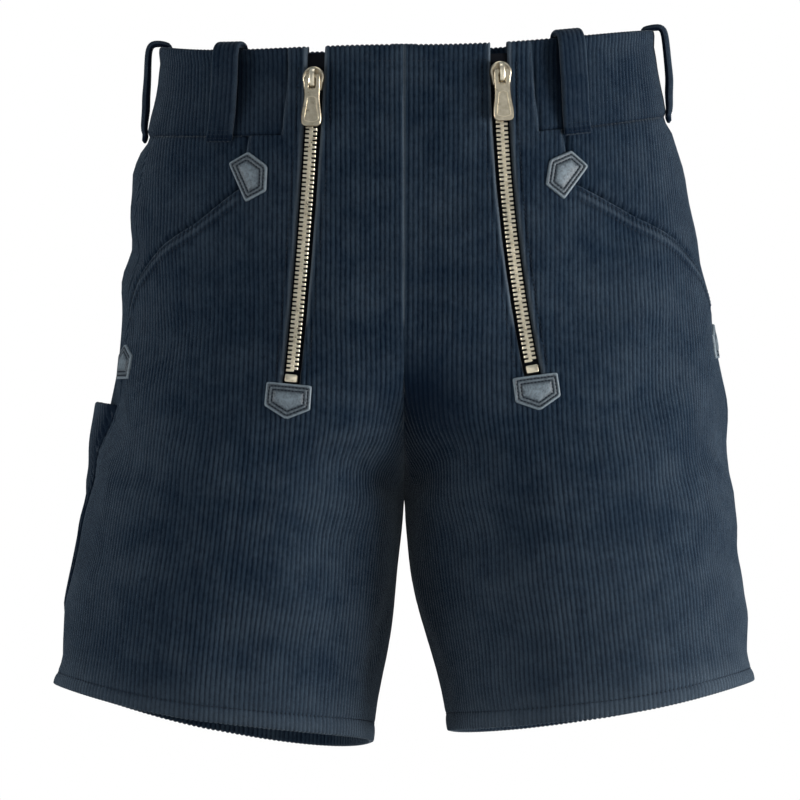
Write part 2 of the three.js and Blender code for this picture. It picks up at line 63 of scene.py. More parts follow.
OUTLINE = "drop level lift out gap sag tilt"
HALF = {
    "right": {
        "sign": -1,
        "rows": table(
            OUTLINE,
            (0, 28, 0, 158.6, 0.05, 2.5, -1), (30, -2, 0, 161, 0.05, 1.5, -1),
            (58, -30, 0, 168, 0.05, 0.5, -0.5), (85, -57, 0, 175.5, 0.05, 0, 0),
            (120, -92, 0, 178, 0.05, 0, 0), (160, -132, 0, 182, 0.05, 0, 0), (200, -172, 0, 186, 0.05, 0, 0),
            (240, -212, 1, 192, 0.05, 0, 0), (270, -242, 2, 199, 0.05, 0, 0), (294, -266, 4, 205, 0.05, 0, 0),
            (316, -288, 7, 208.5, 1, 0.5, -0.4), (345, -317, 12, 212.5, 4.4, 1.5, -1.1),
            (390, -362, 21, 219.5, 9.8, 5, -2.3), (430, -402, 31, 224.5, 17.5, 7.5, -3.2),
            (452, -424, 38, 228, 20, 9, -3.6),
        ),
        "side_seam": (0.42, 0.497),
        "band_end": 0.143,
        "front_loop": 0.236,
        "side_loop": 0.5,
        "side_arch": 0.5,
        "side_patch_drop": 205,
        "zip": {"top": -57.2, "middle": -63.7, "foot": -73.1, "foot_height": -190, "slider_height": 7.5},
        "pocket_patch": (-108, -61, -61),
        "zip_patch": (-74.1, -191, 175),
    },
    "left": {
        "sign": 1,
        "rows": table(
            OUTLINE,
            (0, 28, 11, 162, 0.05, -1.5, -1), (30, -2, 11, 166, 0.05, -1, -1),
            (58, -31, 14, 171.5, 0.05, -0.5, -0.5), (85, -57, 12, 179, 0.05, 0, 0),
            (120, -92, 8, 187.5, 0.05, 0, 0), (160, -132, 4, 197.5, 0.05, 0, 0),
            (200, -172, 2, 204, 0.05, 0, 0), (240, -212, 1, 209, 0.05, 0, 0), (270, -242, 2, 211, 0.05, 0, 0),
            (294, -266, 4, 213.5, 0.05, 0, 0), (316, -287, 7, 215.5, 0.6, 0.5, -0.2),
            (345, -315, 12, 218, 4, 1.5, -0.5), (390, -358, 20, 221, 15, 4, -1),
            (430, -396, 28, 225, 25, 7, -1.3), (452, -417, 33, 227.7, 28.6, 8, -1.5),
        ),
        "side_seam": (0.48, 0.487),
        "band_end": 0.156,
        "front_loop": 0.211,
        "side_loop": 0.485,
        "side_arch": 0.35,
        "side_patch_drop": 193,
        "zip": {"top": 61.8, "middle": 67.6, "foot": 83.2, "foot_height": -184, "slider_height": 11},
        "pocket_patch": (111.5, -61, 45),
        "zip_patch": (84.5, -185.5, 187),
    },
}
SECTION = table(
    "drop front back fullness",
    (0, 106, 112, 2.25), (30, 109, 116, 2.25), (58, 113, 124, 2.25), (85, 117, 134, 2.25),
    (120, 124, 145, 2.25), (160, 130, 152, 2.25), (200, 134, 152, 2.25), (240, 133, 145, 2.2),
    (270, 129, 137, 2.2), (294, 124, 131, 2.15), (316, 121, 126, 2.15), (345, 117, 120, 2.15),
    (390, 111, 114, 2.15), (430, 107, 110, 2.15), (452, 105, 108, 2.15),
)
FORK_START, CROTCH, HEM, INSEAM_Y = 165, 294, 452, 8
BAND = 58  # height of the waistband
MOUTH_START = 0.19  # girth of the hip pocket's front end
MOUTH = table("drop along", (92, 0), (114, 0.3), (131, 0.6), (148, 0.85), (170, 1))
WALE = 3.2  # from one wale to the next
GROOVE = 0.5  # depth between two wales
THICK = 1.7  # from a wale's crown to the cloth's back
FOLD = 1.9  # radius of a folded edge, over its crowns
TOP_HEIGHT = 28


# %% [markdown]
# ## The surface that the cloth lies on
#
# Each half of the body is a superellipse cut off by the middle plane. From the hips to the crotch its middle
# moves outwards until a whole ring is left, and that ring is the leg. One formula therefore draws body,
# crotch curve and leg, and no seam has to be matched by eye.


# %% The surface and its directions
def column(rows, name, at, key="drop"):
    """A column at a place between its rows: a cubic whose slope at a row is that of the line between the
    rows on either side. Past the ends it goes on straight."""
    x, y = rows[key], rows[name]
    slope = np.gradient(y, x)
    slope[1:-1] = (y[2:] - y[:-2]) / (x[2:] - x[:-2])
    at = np.asarray(at, float)
    i = np.clip(np.searchsorted(x, at, side="right") - 1, 0, len(x) - 2)
    step = x[i + 1] - x[i]
    t = np.clip((at - x[i]) / step, 0, 1)
    ends = y[i] + (y[i + 1] - y[i]) * t * t * (3 - 2 * t)
    bend = step * t * (1 - t) * ((1 - t) * slope[i] - t * slope[i + 1])
    return ends + bend + slope[-1] * np.maximum(at - x[-1], 0) + slope[0] * np.minimum(at - x[0], 0)


def smooth(value, start, end):
    """0 up to start, 1 from end on, and a smooth step between them."""
    t = np.clip((np.asarray(value, float) - start) / (end - start), 0, 1)
    return t * t * (3 - 2 * t)


def power(value, exponent):
    return np.sign(value) * np.abs(value) ** exponent


def bell(distance, width):
    """1 on a line and less to both of its sides, falling off over the width."""
    return np.exp(-((distance / width) ** 2))


def unit(vectors):
    return vectors / np.linalg.norm(vectors, axis=-1, keepdims=True)


def dot(a, b):
    return (a * b).sum(-1)


def together(*values):
    """The values as arrays of one shape."""
    return np.broadcast_arrays(*(np.asarray(value, float) for value in values))


def summed(steps):
    """How far along a line each of its points lies, from the steps between the points."""
    return np.pad(np.cumsum(steps, axis=-1), [(0, 0)] * (steps.ndim - 1) + [(1, 0)])


def length_along(line):
    return summed(np.linalg.norm(np.diff(line, axis=0), axis=1))


def skin(half, girth, drop):
    """The outer face of the cloth, in millimetres: level row by row, with the outer side lifted, front and
    back sagging at the hem, and the back tilted against the front, most of all at the inner side."""
    girth, drop = together(girth, drop)
    own = {name: column(half["rows"], name, drop) for name in ("level", "lift", "out", "gap", "sag", "tilt")}
    shared = {name: column(SECTION, name, drop) for name in ("front", "back", "fullness")}
    parted = smooth(drop, FORK_START, CROTCH)
    fullness = shared["fullness"]
    middle_x = (own["gap"] + parted * own["out"]) / (1 + parted)
    middle_y = INSEAM_Y * parted
    turn = np.arccos(-(parted ** (fullness / 2))) * (2 * girth - 1)
    outwards = power(np.cos(turn), 2 / fullness)
    backwards = power(np.sin(turn), 2 / fullness)
    depth = np.where(backwards < 0, shared["front"] + middle_y, shared["back"] - middle_y)
    z = own["level"] + own["lift"] * (1 - np.cos(2 * np.pi * girth)) / 2
    z = z - own["sag"] * (1 - np.cos(4 * np.pi * girth)) / 2 + own["tilt"] * backwards * (1 - outwards)
    x = half["sign"] * (middle_x + (own["out"] - middle_x) * outwards)
    return np.stack([x, middle_y + depth * backwards, z], -1)


def directions(half, girth, drop):
    """Round the row and down the cloth, in millimetres for one unit of girth or drop, and the way out."""
    step, fall = 1e-4, 0.05
    round_row = (skin(half, girth + step, drop) - skin(half, girth - step, drop)) / (2 * step)
    down = (skin(half, girth, drop + fall) - skin(half, girth, drop - fall)) / (2 * fall)
    return round_row, down, unit(np.cross(round_row, down)) * -half["sign"]


def shifted(half, girth, drop, across, below):
    """The place that is seen, square to the cloth, `across` millimetres towards the side seam and `below`
    millimetres down from one place. Newton steps bring each point to where it should be."""
    round_row, down, _ = directions(half, girth, drop)
    along = unit(round_row)
    fall = unit(down - along * dot(down, along)[..., None])
    start = skin(half, girth, drop)
    across, below = together(across, below)
    g, d = np.full(across.shape, girth, float), np.full(across.shape, drop, float)
    for _ in range(4):
        way_round, way_down, _ = directions(half, g, d)
        done = skin(half, g, d) - start
        miss_across, miss_below = across - dot(done, along), below - dot(done, fall)
        size = dot(way_round, along) * dot(way_down, fall) - dot(way_round, fall) * dot(way_down, along)
        g = g + (miss_across * dot(way_down, fall) - miss_below * dot(way_down, along)) / size
        d = d + (miss_below * dot(way_round, along) - miss_across * dot(way_round, fall)) / size
    return g, d


def on_front(half, x, z):
    """The place on the front that is seen at x and z."""
    x, z = together(x, z)
    girth, drop = np.full(x.shape, 0.2), TOP_HEIGHT - z
    for _ in range(12):
        round_row, down, _ = directions(half, girth, drop)
        point = skin(half, girth, drop)
        girth = np.clip(girth + (x - point[..., 0]) / round_row[..., 0], 0.01, 0.45)
        drop = drop + (z - point[..., 2]) / down[..., 2]
    return girth, drop


for side, half in HALF.items():
    waist = length_along(skin(half, np.linspace(0, 1, 400), 0))[-1]
    print(f"{side} half of the waist: {waist:.0f} mm")

# %% [markdown]
# ## Folds
#
# Worn cloth is never smooth. Short drag lines run from the crotch towards the hips, the flap buckles a
# little between the zips, and the sides pinch at the waistband's seam. Each is a soft ridge or trough
# between two places. They differ in length, depth and spacing, and they die away beside the stiff zips.

# %% Ridges and troughs in the cloth
FOLD_COLUMNS = "girth drop to_girth to_drop height width"
FOLDS = {
    "right": table(
        FOLD_COLUMNS,
        (0.01, 118, 0.09, 92, 1.1, 9), (0.0, 146, 0.10, 128, -1.0, 10), (0.02, 176, 0.11, 150, 1.2, 11),
        (0.0, 205, 0.12, 190, -1.1, 12), (0.02, 70, 0.09, 62, -0.8, 10), (0.01, 262, 0.16, 226, 1.8, 14),
        (0.03, 284, 0.20, 262, -1.9, 13), (0.05, 300, 0.25, 292, 1.7, 15), (0.10, 326, 0.29, 314, -1.4, 16),
        (0.15, 352, 0.34, 366, 1.3, 20), (0.12, 388, 0.26, 398, -1.5, 18), (0.24, 420, 0.36, 408, 1.2, 16),
        (0.22, 120, 0.33, 140, 1.2, 12), (0.21, 170, 0.33, 196, -1.3, 14), (0.24, 214, 0.36, 232, 1.3, 15),
        (0.36, 112, 0.50, 104, 1.6, 12), (0.38, 137, 0.56, 129, -2.4, 10), (0.36, 160, 0.56, 150, 1.7, 13),
        (0.40, 62, 0.60, 60, -2.0, 5), (0.44, 84, 0.60, 80, 1.2, 10), (0.42, 286, 0.56, 300, -1.6, 14),
        (0.40, 350, 0.50, 392, 1.5, 16), (0.30, 262, 0.42, 300, -1.2, 16), (0.46, 420, 0.54, 440, -1.5, 12),
        (0.66, 110, 0.86, 128, 1.2, 14), (0.70, 168, 0.95, 186, -1.5, 15), (0.80, 212, 0.99, 244, 1.8, 14),
        (0.74, 252, 0.96, 280, -1.8, 14), (0.66, 304, 0.86, 318, 1.6, 17), (0.60, 360, 0.78, 378, -1.5, 19),
        (0.70, 408, 0.88, 424, 1.3, 18), (0.03, 340, 0.08, 420, -1.6, 12), (0.90, 350, 0.96, 430, 1.4, 13),
    ),
    "left": table(
        FOLD_COLUMNS,
        (0.01, 104, 0.10, 122, -1.0, 9), (0.02, 128, 0.11, 104, 1.3, 9), (0.02, 176, 0.11, 158, 1.0, 10),
        (0.0, 214, 0.12, 196, -1.3, 12), (0.02, 66, 0.10, 58, 0.9, 10), (0.01, 252, 0.15, 218, 1.6, 13),
        (0.02, 276, 0.20, 246, -2.2, 13), (0.06, 300, 0.27, 282, 1.9, 15), (0.11, 322, 0.30, 330, -1.3, 17),
        (0.16, 358, 0.30, 346, 1.4, 18), (0.14, 392, 0.33, 384, -1.4, 19), (0.10, 424, 0.24, 416, 1.3, 14),
        (0.22, 128, 0.36, 116, -1.1, 12), (0.22, 184, 0.34, 164, 1.4, 14), (0.25, 232, 0.38, 210, -1.4, 15),
        (0.40, 96, 0.56, 92, 1.1, 12), (0.40, 62, 0.60, 60, -1.8, 5), (0.42, 142, 0.56, 150, -1.5, 12),
        (0.40, 214, 0.52, 236, 1.4, 14), (0.38, 268, 0.52, 256, -1.6, 13), (0.36, 306, 0.50, 322, 1.6, 15),
        (0.38, 352, 0.52, 340, -1.5, 15), (0.40, 402, 0.54, 390, 1.5, 14), (0.44, 432, 0.56, 424, -1.3, 12),
        (0.66, 120, 0.88, 108, 1.3, 14), (0.72, 176, 0.96, 164, -1.4, 15), (0.78, 220, 0.99, 250, 1.9, 14),
        (0.72, 262, 0.94, 286, -1.7, 14), (0.68, 312, 0.90, 306, 1.5, 17), (0.62, 352, 0.80, 370, -1.4, 19),
        (0.68, 414, 0.84, 404, 1.4, 18), (0.04, 332, 0.07, 410, 1.5, 12), (0.92, 340, 0.97, 420, -1.5, 13),
    ),
}
GIRTHS = np.linspace(0, 1, 721)


def rings(half, drop):
    """For each drop, the arc length round the row up to each of GIRTHS, and the points there."""
    points = skin(half, GIRTHS[None, :], np.asarray(drop, float)[:, None])
    return summed(np.linalg.norm(np.diff(points, axis=1), axis=2)), points


def ring_length(half, drop):
    """The whole way round the row at a drop, read off a chart that is drawn once."""
    return np.interp(drop, half["chart"]["drop"], half["chart"]["ring"])


def zip_x(half, t):
    """The zip's middle line, a parabola in x with t from 0 at the tape's top to 1 at its foot."""
    top, middle, foot = (half["zip"][name] for name in ("top", "middle", "foot"))
    return top * (1 - t) * (1 - 2 * t) + 4 * middle * t * (1 - t) + foot * t * (2 * t - 1)


ZIP_TOP_DROP = 5
ZIP_TOP = TOP_HEIGHT - ZIP_TOP_DROP


def zip_length(half):
    return ZIP_TOP - half["zip"]["foot_height"]


def zip_place(half, t):
    return on_front(half, zip_x(half, t), ZIP_TOP - zip_length(half) * t)


for half in HALF.values():
    chart_drops = np.arange(-10, HEM + 11, 4.0)
    half["chart"] = {"drop": chart_drops, "ring": rings(half, chart_drops)[0][:, -1]}
    line_girth, line_drop = zip_place(half, np.linspace(-0.12, 1.1, 60))
    half["zip_line"] = {"drop": line_drop, "girth": line_girth}


def zip_girth(half, drop):
    return np.interp(drop, half["zip_line"]["drop"], half["zip_line"]["girth"])


STIFF_BY_ZIP = 15  # how far the stiff zip reaches into the cloth beside it
FOLD_DEPTH = 1.35  # how much of the tables' heights shows
RIPPLE_RANGES = ((-0.07, 0.07), (-0.09, 0.09), (0.12, 0.3), (0, 6.28))  # way round, way down, height, phase
RIPPLES = np.stack([dice.uniform(low, high, 7) for low, high in RIPPLE_RANGES], axis=1)


def folds(name, girth, drop):
    """How far the cloth stands out of its smooth form. Each fold is its height times a bell curve of the
    distance to its line, faded out towards the line's two ends."""
    half = HALF[name]
    ring = ring_length(half, drop)
    total = np.zeros(np.broadcast(girth, drop).shape)
    for g0, d0, g1, d1, height, width in zip(*FOLDS[name].values()):
        run_g, run_d = (g1 - g0) * ring, d1 - d0
        off_g, off_d = (girth - g0) * ring, drop - d0
        t = np.clip((off_g * run_g + off_d * run_d) / (run_g**2 + run_d**2), 0, 1)
        apart = np.hypot(off_g - t * run_g, off_d - t * run_d)
        total += height * bell(apart, width) * np.sin(np.pi * t) ** 0.6
    for way_g, way_d, height, phase in RIPPLES:
        total += height * np.sin(way_g * girth * ring + way_d * drop + phase)
    beside_zip = np.abs(girth - zip_girth(half, drop)) * ring
    stiff = bell(beside_zip, STIFF_BY_ZIP) * (1 - smooth(drop, 205, 235))
    at_edge = smooth(drop, 0, 26) * 0.6 + 0.4
    return FOLD_DEPTH * total * (1 - stiff) * at_edge


for side in HALF:
    sample = folds(side, np.linspace(0, 1, 200)[None, :], np.linspace(0, HEM, 200)[:, None])
    print(side, "folds from", round(float(sample.min()), 1), "to", round(float(sample.max()), 1), "mm")


# %% [markdown]
# ## From arrays to cloth
#
# A panel is made twice, as its pile face and its back, and the two are closed round the border. That gives
# the wall a real thickness, with a face that has wales and a back that is plain, as corduroy has.


# %% Closed walls and meshes
def closed_wall(outer, inner, triangles):
    """Joins two faces of a sheet into one closed mesh. Points that coincide are welded, triangles that this
    flattens are dropped, and each border edge gets a strip between the faces."""
    keys = np.round(outer / 1e-3).astype(np.int64)
    _, first, welded = np.unique(keys, axis=0, return_index=True, return_inverse=True)
    faces = welded.ravel()[triangles]
    whole = (faces[:, 0] != faces[:, 1]) & (faces[:, 1] != faces[:, 2]) & (faces[:, 2] != faces[:, 0])
    faces = faces[whole]
    count = len(first)
    edges = np.concatenate([faces[:, [0, 1]], faces[:, [1, 2]], faces[:, [2, 0]]])
    there, back = edges[:, 0] * count + edges[:, 1], edges[:, 1] * count + edges[:, 0]
    a, b = edges[~np.isin(there, back)].T
    strips = np.concatenate([np.stack([b, a, a + count], 1), np.stack([b, a + count, b + count], 1)])
    points = np.concatenate([outer[first], inner[first]])
    return points, np.concatenate([faces, faces[:, ::-1] + count, strips]), first


def outwards(points, faces):
    """The faces, turned round where they enclose a negative volume."""
    a, b, c = (points[faces[:, i]] for i in range(3))
    return faces if dot(a, np.cross(b, c)).sum() > 0 else faces[:, ::-1]


def put_in(name, data):
    """An object of that name in the scene."""
    made = bpy.data.objects.new(name, data)
    bpy.context.scene.collection.objects.link(made)
    return made


def make_piece(name, points, faces, look, body="shorts", marks=None, grain=None, sharp=50.0):
    """A mesh object from triangles, in metres, riding on one body. marks are one value a point, and grain
    holds each point's place across and along the wales, as the UV map of that name."""
    faces = outwards(points, faces)
    mesh = bpy.data.meshes.new(name)
    mesh.vertices.add(len(points))
    mesh.vertices.foreach_set("co", (points * METRE).astype(np.float32).ravel())
    mesh.loops.add(faces.size)
    mesh.loops.foreach_set("vertex_index", faces.astype(np.int32).ravel())
    mesh.polygons.add(len(faces))
    mesh.polygons.foreach_set("loop_start", np.arange(0, faces.size, 3, dtype=np.int32))
    mesh.update(calc_edges=True)
    if grain is not None:
        layer = mesh.uv_layers.new(name="grain")
        layer.data.foreach_set("uv", (grain[faces.ravel()] * METRE).astype(np.float32).ravel())
    for mark, values in (marks or {}).items():
        attribute = mesh.attributes.new(mark, "FLOAT", "POINT")
        attribute.data.foreach_set("value", np.asarray(values, np.float32))
    mesh.polygons.foreach_set("use_smooth", np.ones(len(faces), bool))
    mesh.set_sharp_from_angle(angle=np.radians(sharp))
    mesh.materials.append(look)
    piece = put_in(name, mesh)
    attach(piece, body)
    return piece


def grid_triangles(rows, columns):
    """Two triangles for each cell of a grid whose points are numbered row by row."""
    corner = (np.arange(rows - 1)[:, None] * columns + np.arange(columns - 1)[None, :]).ravel()
    a, b, c, d = corner, corner + 1, corner + columns + 1, corner + columns
    return np.concatenate([np.stack([a, b, c], 1), np.stack([a, c, d], 1)])


# %% [markdown]
# ## The looks
#
# Cotton corduroy drinks light head on and gives it back at a slant, because its pile stands up. So its base
# is almost black and a pale sheen lies on it. Grooves are painted darker than crowns, a painted shade across
# each wale, and the nap lies in patches. Edges and hems that rub are paler, and painted light makes the hems
# and the lower legs paler still. Painted shade darkens seams, stitch rows, the cloth under the loops and
# under the pocket mouth, and the cloth between the legs. Shader sums are written as Python sums by a small
# class.


# %% Shader sums written as Python
class Wire:
    """The output of a node. Sums with it make Math nodes, from either side: 1 - wire works."""

    def __init__(self, look, socket):
        self.look, self.socket = look, socket

    def __add__(self, other):
        return self.look.maths("ADD", self, other)

    def __sub__(self, other):
        return self.look.maths("SUBTRACT", self, other)

    def __rsub__(self, other):
        return self.look.maths("SUBTRACT", other, self)

    def __mul__(self, other):
        return self.look.maths("MULTIPLY", self, other)

    def __truediv__(self, other):
        return self.look.maths("DIVIDE", self, other)

    def __pow__(self, other):
        return self.look.maths("POWER", self, other)

    __radd__, __rmul__ = __add__, __mul__


class Look:
    """A material in the making. Every call adds one node and gives its output back as a Wire."""

    def __init__(self, name, **constants):
        self.material = bpy.data.materials.new(name)
        self.material.use_nodes = True
        self.tree = self.material.node_tree
        self.shader = self.tree.nodes["Principled BSDF"]
        self.set(**constants)

    def set(self, **values):
        for name, value in values.items():
            self.feed(self.shader.inputs[name.replace("_", " ")], value)

    def feed(self, socket, value):
        if isinstance(value, Wire):
            self.tree.links.new(value.socket, socket)
        else:
            socket.default_value = value

    def node(self, kind, settings=(), output=0, **values):
        made = self.tree.nodes.new("ShaderNode" + kind)
        for key, value in dict(settings).items():
            setattr(made, key, value)
        for name, value in values.items():
            self.feed(made.inputs[name.replace("_", " ")], value)
        return Wire(self, made.outputs[output])

    def maths(self, operation, *values, kind="Math"):
        made = self.tree.nodes.new("ShaderNode" + kind)
        made.operation = operation
        for socket, value in zip(made.inputs, values):
            self.feed(socket, value)
        return Wire(self, made.outputs[0])

    def stretch(self, vector, x, y, z=1):
        return self.maths("MULTIPLY", vector, (x, y, z), kind="VectorMath")

    def mix(self, share, first, second):
        made = self.tree.nodes.new("ShaderNodeMix")
        made.data_type = "RGBA"
        for index, value in ((0, share), (6, first), (7, second)):
            self.feed(made.inputs[index], value)
        return Wire(self, made.outputs[2])

    def noise(self, vector, scale, detail=2.0, roughness=0.5):
        return self.node("TexNoise", Vector=vector, Scale=scale, Detail=detail, Roughness=roughness)

    def ramp(self, value, low, high):
        """value moved from low..high to 0..1 and kept inside it."""
        settings = {"interpolation_type": "SMOOTHSTEP"}
        return self.node("MapRange", settings, Value=value, From_Min=low, From_Max=high)

    def bump(self, height, distance, strength=1.0):
        self.set(Normal=self.node("Bump", Height=height, Distance=distance, Strength=strength))

    def colour(self, base, varying, rise, start):
        """The base colour, and a roughness that rises by `rise` from `start` with a varying value."""
        self.set(Base_Color=base, Roughness=self.maths("MULTIPLY_ADD", varying, rise, start))

    def place(self):
        return self.node("TexCoord", output=3)

    def grain(self):
        return self.node("UVMap", {"uv_map": "grain"})

    def mark(self, name):
        return self.node("Attribute", {"attribute_name": name}, output=2)


# %% The corduroy
PILE = (0.0142, 0.0250, 0.0390, 1)
# The grooves' colour, also laid on as painted shade
DARK_PILE_AND_SHADE = (0.0014, 0.0043, 0.0106, 1)
PALE_PILE = (0.050, 0.064, 0.079, 1)
# Rubbed pile, also laid on as painted light towards the hems
RUBBED_AND_LIT_PILE = (0.115, 0.142, 0.168, 1)
BACK_CLOTH = (0.006, 0.009, 0.016, 1)
SHEEN_TINT = (0.68, 0.78, 0.86, 1)
# How many specks a metre has, across the wales and along them
TUFTS, HAIRS, BRUSH_MARKS, LOCKS, WEAVE = (2400, 900), (6000, 1800), (300, 36), (560, 230), (1800, 1800)


def corduroy_look(name, depth=1.0):
    """depth is how full the colour is: strips cut against the nap look darker."""
    look = Look(name, Sheen_Weight=0.24, Sheen_Roughness=0.3, Sheen_Tint=SHEEN_TINT, Specular_IOR_Level=0.015)
    grain = look.grain()
    wales = look.node("SeparateXYZ", Vector=grain) * (1 / (WALE * METRE))
    crown = look.maths("SINE", look.maths("FRACT", wales) * np.pi) ** 1.1
    own_tone = look.node("TexWhiteNoise", {"noise_dimensions": "1D"}, W=look.maths("FLOOR", wales))
    tufts = look.noise(look.stretch(grain, *TUFTS), 1.0, 3.0, 0.65)
    hairs = look.noise(look.stretch(grain, *HAIRS), 1.0, 2.0, 0.6)
    brushed = look.noise(look.stretch(grain, *BRUSH_MARKS), 1.0, 2.0, 0.5)
    locks = look.noise(look.stretch(grain, *LOCKS), 1.0, 2.0, 0.6)
    slanted = look.node("Mapping", Vector=look.place(), Rotation=(0, 0.75, 0), Scale=(16, 16, 34))
    streaks = look.noise(slanted, 1.0, 4.0, 0.6)
    clouds = look.noise(look.place(), 64.0, 5.0, 0.72)
    nap = look.ramp(streaks * 0.5 + clouds * 0.5, 0.34, 0.68)
    # Crowns paler and grooves darker, also in the pale nap, on top of the wales' relief: painted shade across
    # each wale
    ribs = crown * (brushed * 0.4 + 0.3)
    shade = look.ramp(ribs + tufts * 0.9 + locks * 1.15 + brushed * 0.2 + own_tone * 0.14, 0.94, 1.96)
    face = look.mix(shade, DARK_PILE_AND_SHADE, PILE)
    face = look.mix(nap * (crown * 0.65 + 0.35) * (tufts + 0.5) * 0.28, face, PALE_PILE)
    face = look.mix((1 - nap) * 0.24, face, DARK_PILE_AND_SHADE)
    face = look.mix(1 - depth, face, DARK_PILE_AND_SHADE)
    worn = look.mark("worn")
    # Above 0 the mark makes the pile paler, as rubbed pile and painted light. Below 0 it darkens it, as
    # painted shade.
    face = look.mix(worn * (tufts * 0.9 + 0.3), face, RUBBED_AND_LIT_PILE)
    face = look.mix(worn * -1.0, face, DARK_PILE_AND_SHADE)
    weave = look.ramp(look.noise(look.stretch(grain, *WEAVE), 1.0, 2.0), 0.3, 0.7)
    back = look.mix(weave, DARK_PILE_AND_SHADE, BACK_CLOTH)
    look.colour(look.mix(look.mark("inside"), face, back), tufts, 0.12, 0.86)
    look.bump(tufts * 0.65 + hairs * 0.35, 0.0005, 1.0)
    return look.material


corduroy = corduroy_look("navy_corduroy")
loop_corduroy = corduroy_look("navy_corduroy_loops", 0.72)


# %% Thread, leather, tape and brass
def thread_look():
    look = Look("navy_thread", Specular_IOR_Level=0.08)
    twist = look.noise(look.place(), 2200.0, 1.0)
    look.colour(look.mix(twist, (0.003, 0.005, 0.009, 1), (0.012, 0.018, 0.028, 1)), twist, 0.2, 0.5)
    look.bump(twist, 0.0002, 0.8)
    return look.material


def leather_look():
    """Pebbled grain, a paler burnished rim and centre, and darker sewn channels."""
    look = Look("grey_blue_leather", Specular_IOR_Level=0.42)
    place = look.place()
    pebbles = look.node("TexVoronoi", {"feature": "SMOOTH_F1"}, Vector=place, Scale=1500.0, Smoothness=0.6)
    creases = look.noise(place, 420.0, 4.0, 0.6)
    flecks = look.noise(place, 1100.0, 3.0, 0.7)
    rub_and_shade = look.ramp(look.mark("worn") + (creases - 0.5) * 0.9 + (flecks - 0.5) * 1.3, 0.1, 1.15)
    base = look.mix(creases, (0.012, 0.018, 0.024, 1), (0.040, 0.053, 0.064, 1))
    look.colour(look.mix(rub_and_shade, base, (0.118, 0.148, 0.168, 1)), creases, 0.25, 0.36)
    look.bump(pebbles * 0.6 + creases * 0.6 + flecks * 0.5, 0.00035, 0.9)
    return look.material


def tape_look():
    """Woven tape: fine ribs along it, crossed by a slanted twill."""
    look = Look("black_zip_tape", Specular_IOR_Level=0.04)
    grain = look.grain()
    slanted = {"wave_type": "BANDS", "bands_direction": "DIAGONAL"}
    twill = look.node("TexWave", slanted, Vector=grain, Scale=420.0, Distortion=0.6)
    fleck = look.noise(look.stretch(grain, 1500, 1500), 1.0, 2.0)
    black = look.mix(twill * fleck, (0.0015, 0.002, 0.003, 1), (0.010, 0.011, 0.015, 1))
    look.colour(black, fleck, 0.15, 0.75)
    look.bump(twill, 0.00025, 0.6)
    return look.material


def brass_look():
    """Pale brass: rubbed bright on its high edges, tarnished in its hollows, with fine scratches."""
    look = Look("pale_brass", Metallic=1.0)
    place = look.place()
    clouds = look.noise(place, 260.0, 3.0, 0.6)
    scratches = look.noise(look.stretch(place, 300, 300, 4200), 1.0, 2.0, 0.6)
    bright = look.mix(clouds, (0.62, 0.53, 0.37, 1), (0.82, 0.74, 0.58, 1))
    skin_tone = look.mix(look.mark("bright") * (clouds * 0.6 + 0.7), (0.15, 0.11, 0.06, 1), bright)
    scratched = look.mix(look.ramp(scratches, 0.55, 0.8) * 0.35, skin_tone, (0.30, 0.24, 0.15, 1))
    look.colour(scratched, clouds, 0.22, 0.20)
    look.bump(scratches, 0.00006, 0.5)
    return look.material


thread, leather, tape_cloth, brass = thread_look(), leather_look(), tape_look(), brass_look()
print("looks:", [look.name for look in (corduroy, loop_corduroy, thread, leather, tape_cloth, brass)])

# %% [markdown]
# ## Cutting along the wales
#
# Corduroy is always cut with the wales running down, so the grid's columns follow the wales and the panel's
# edges cut across them. Columns past an edge are laid on the edge and welded there. Along a leg the grain
# line leans outwards with the leg, as it does on a trouser pattern.


# %% Rows, columns and edges of a panel
def turned_rows(drops, top=None, bottom=None, inside=12.0):
    """The rows of a panel as drop, stand-off and turn of the face. An edge named by top or bottom is folded:
    the row runs over a half circle and on, face inwards, behind the panel."""
    sweep = np.radians(np.arange(15, 180, 30.0))
    drop, off, turn = [np.asarray(drops, float)], [np.zeros(len(drops))], [np.zeros(len(drops))]
    behind = np.array([inside, inside * 0.5, FOLD])
    if top is not None:
        drop[:0] = [top + behind, top + FOLD - FOLD * np.sin(sweep)]
        off[:0] = [np.full(3, -2 * FOLD), -FOLD - FOLD * np.cos(sweep)]
        turn[:0] = [np.full(3, -np.pi), sweep - np.pi]
    if bottom is not None:
        drop += [bottom - FOLD + FOLD * np.sin(sweep), bottom - behind[::-1]]
        off += [FOLD * np.cos(sweep) - FOLD, np.full(3, -2 * FOLD)]
        turn += [sweep, np.full(3, np.pi)]
    return np.concatenate(drop), np.concatenate(off), np.concatenate(turn)


GRAIN_X, GRAIN_LEAN = 85, 20  # the grain line's x in the body, and how much further out it is at the hem


def wale_arcs(half, drop, back):
    """Arc length round each row, counted from the grain line of the front or of the back."""
    arcs, points = rings(half, drop)
    line = GRAIN_X + GRAIN_LEAN * smooth(drop, 200, 480)
    way_out = np.abs(points[:, :, 0])
    middle = len(GIRTHS) // 2
    part = slice(None, middle, -1) if back else slice(0, middle)
    start = np.array([np.interp(x, way[part], arc[part]) for x, way, arc in zip(line, way_out, arcs)])
    return arcs - start[:, None]


def edge(place, *moves):
    """An edge for cut: at one girth, or at what a function of the drop gives, moved across by millimetres."""

    def run(drop, arcs):
        girth = np.broadcast_to(place(drop) if callable(place) else place, len(arcs))
        return sum(moves, np.array([np.interp(g, GIRTHS, arc) for g, arc in zip(girth, arcs)]))

    return run


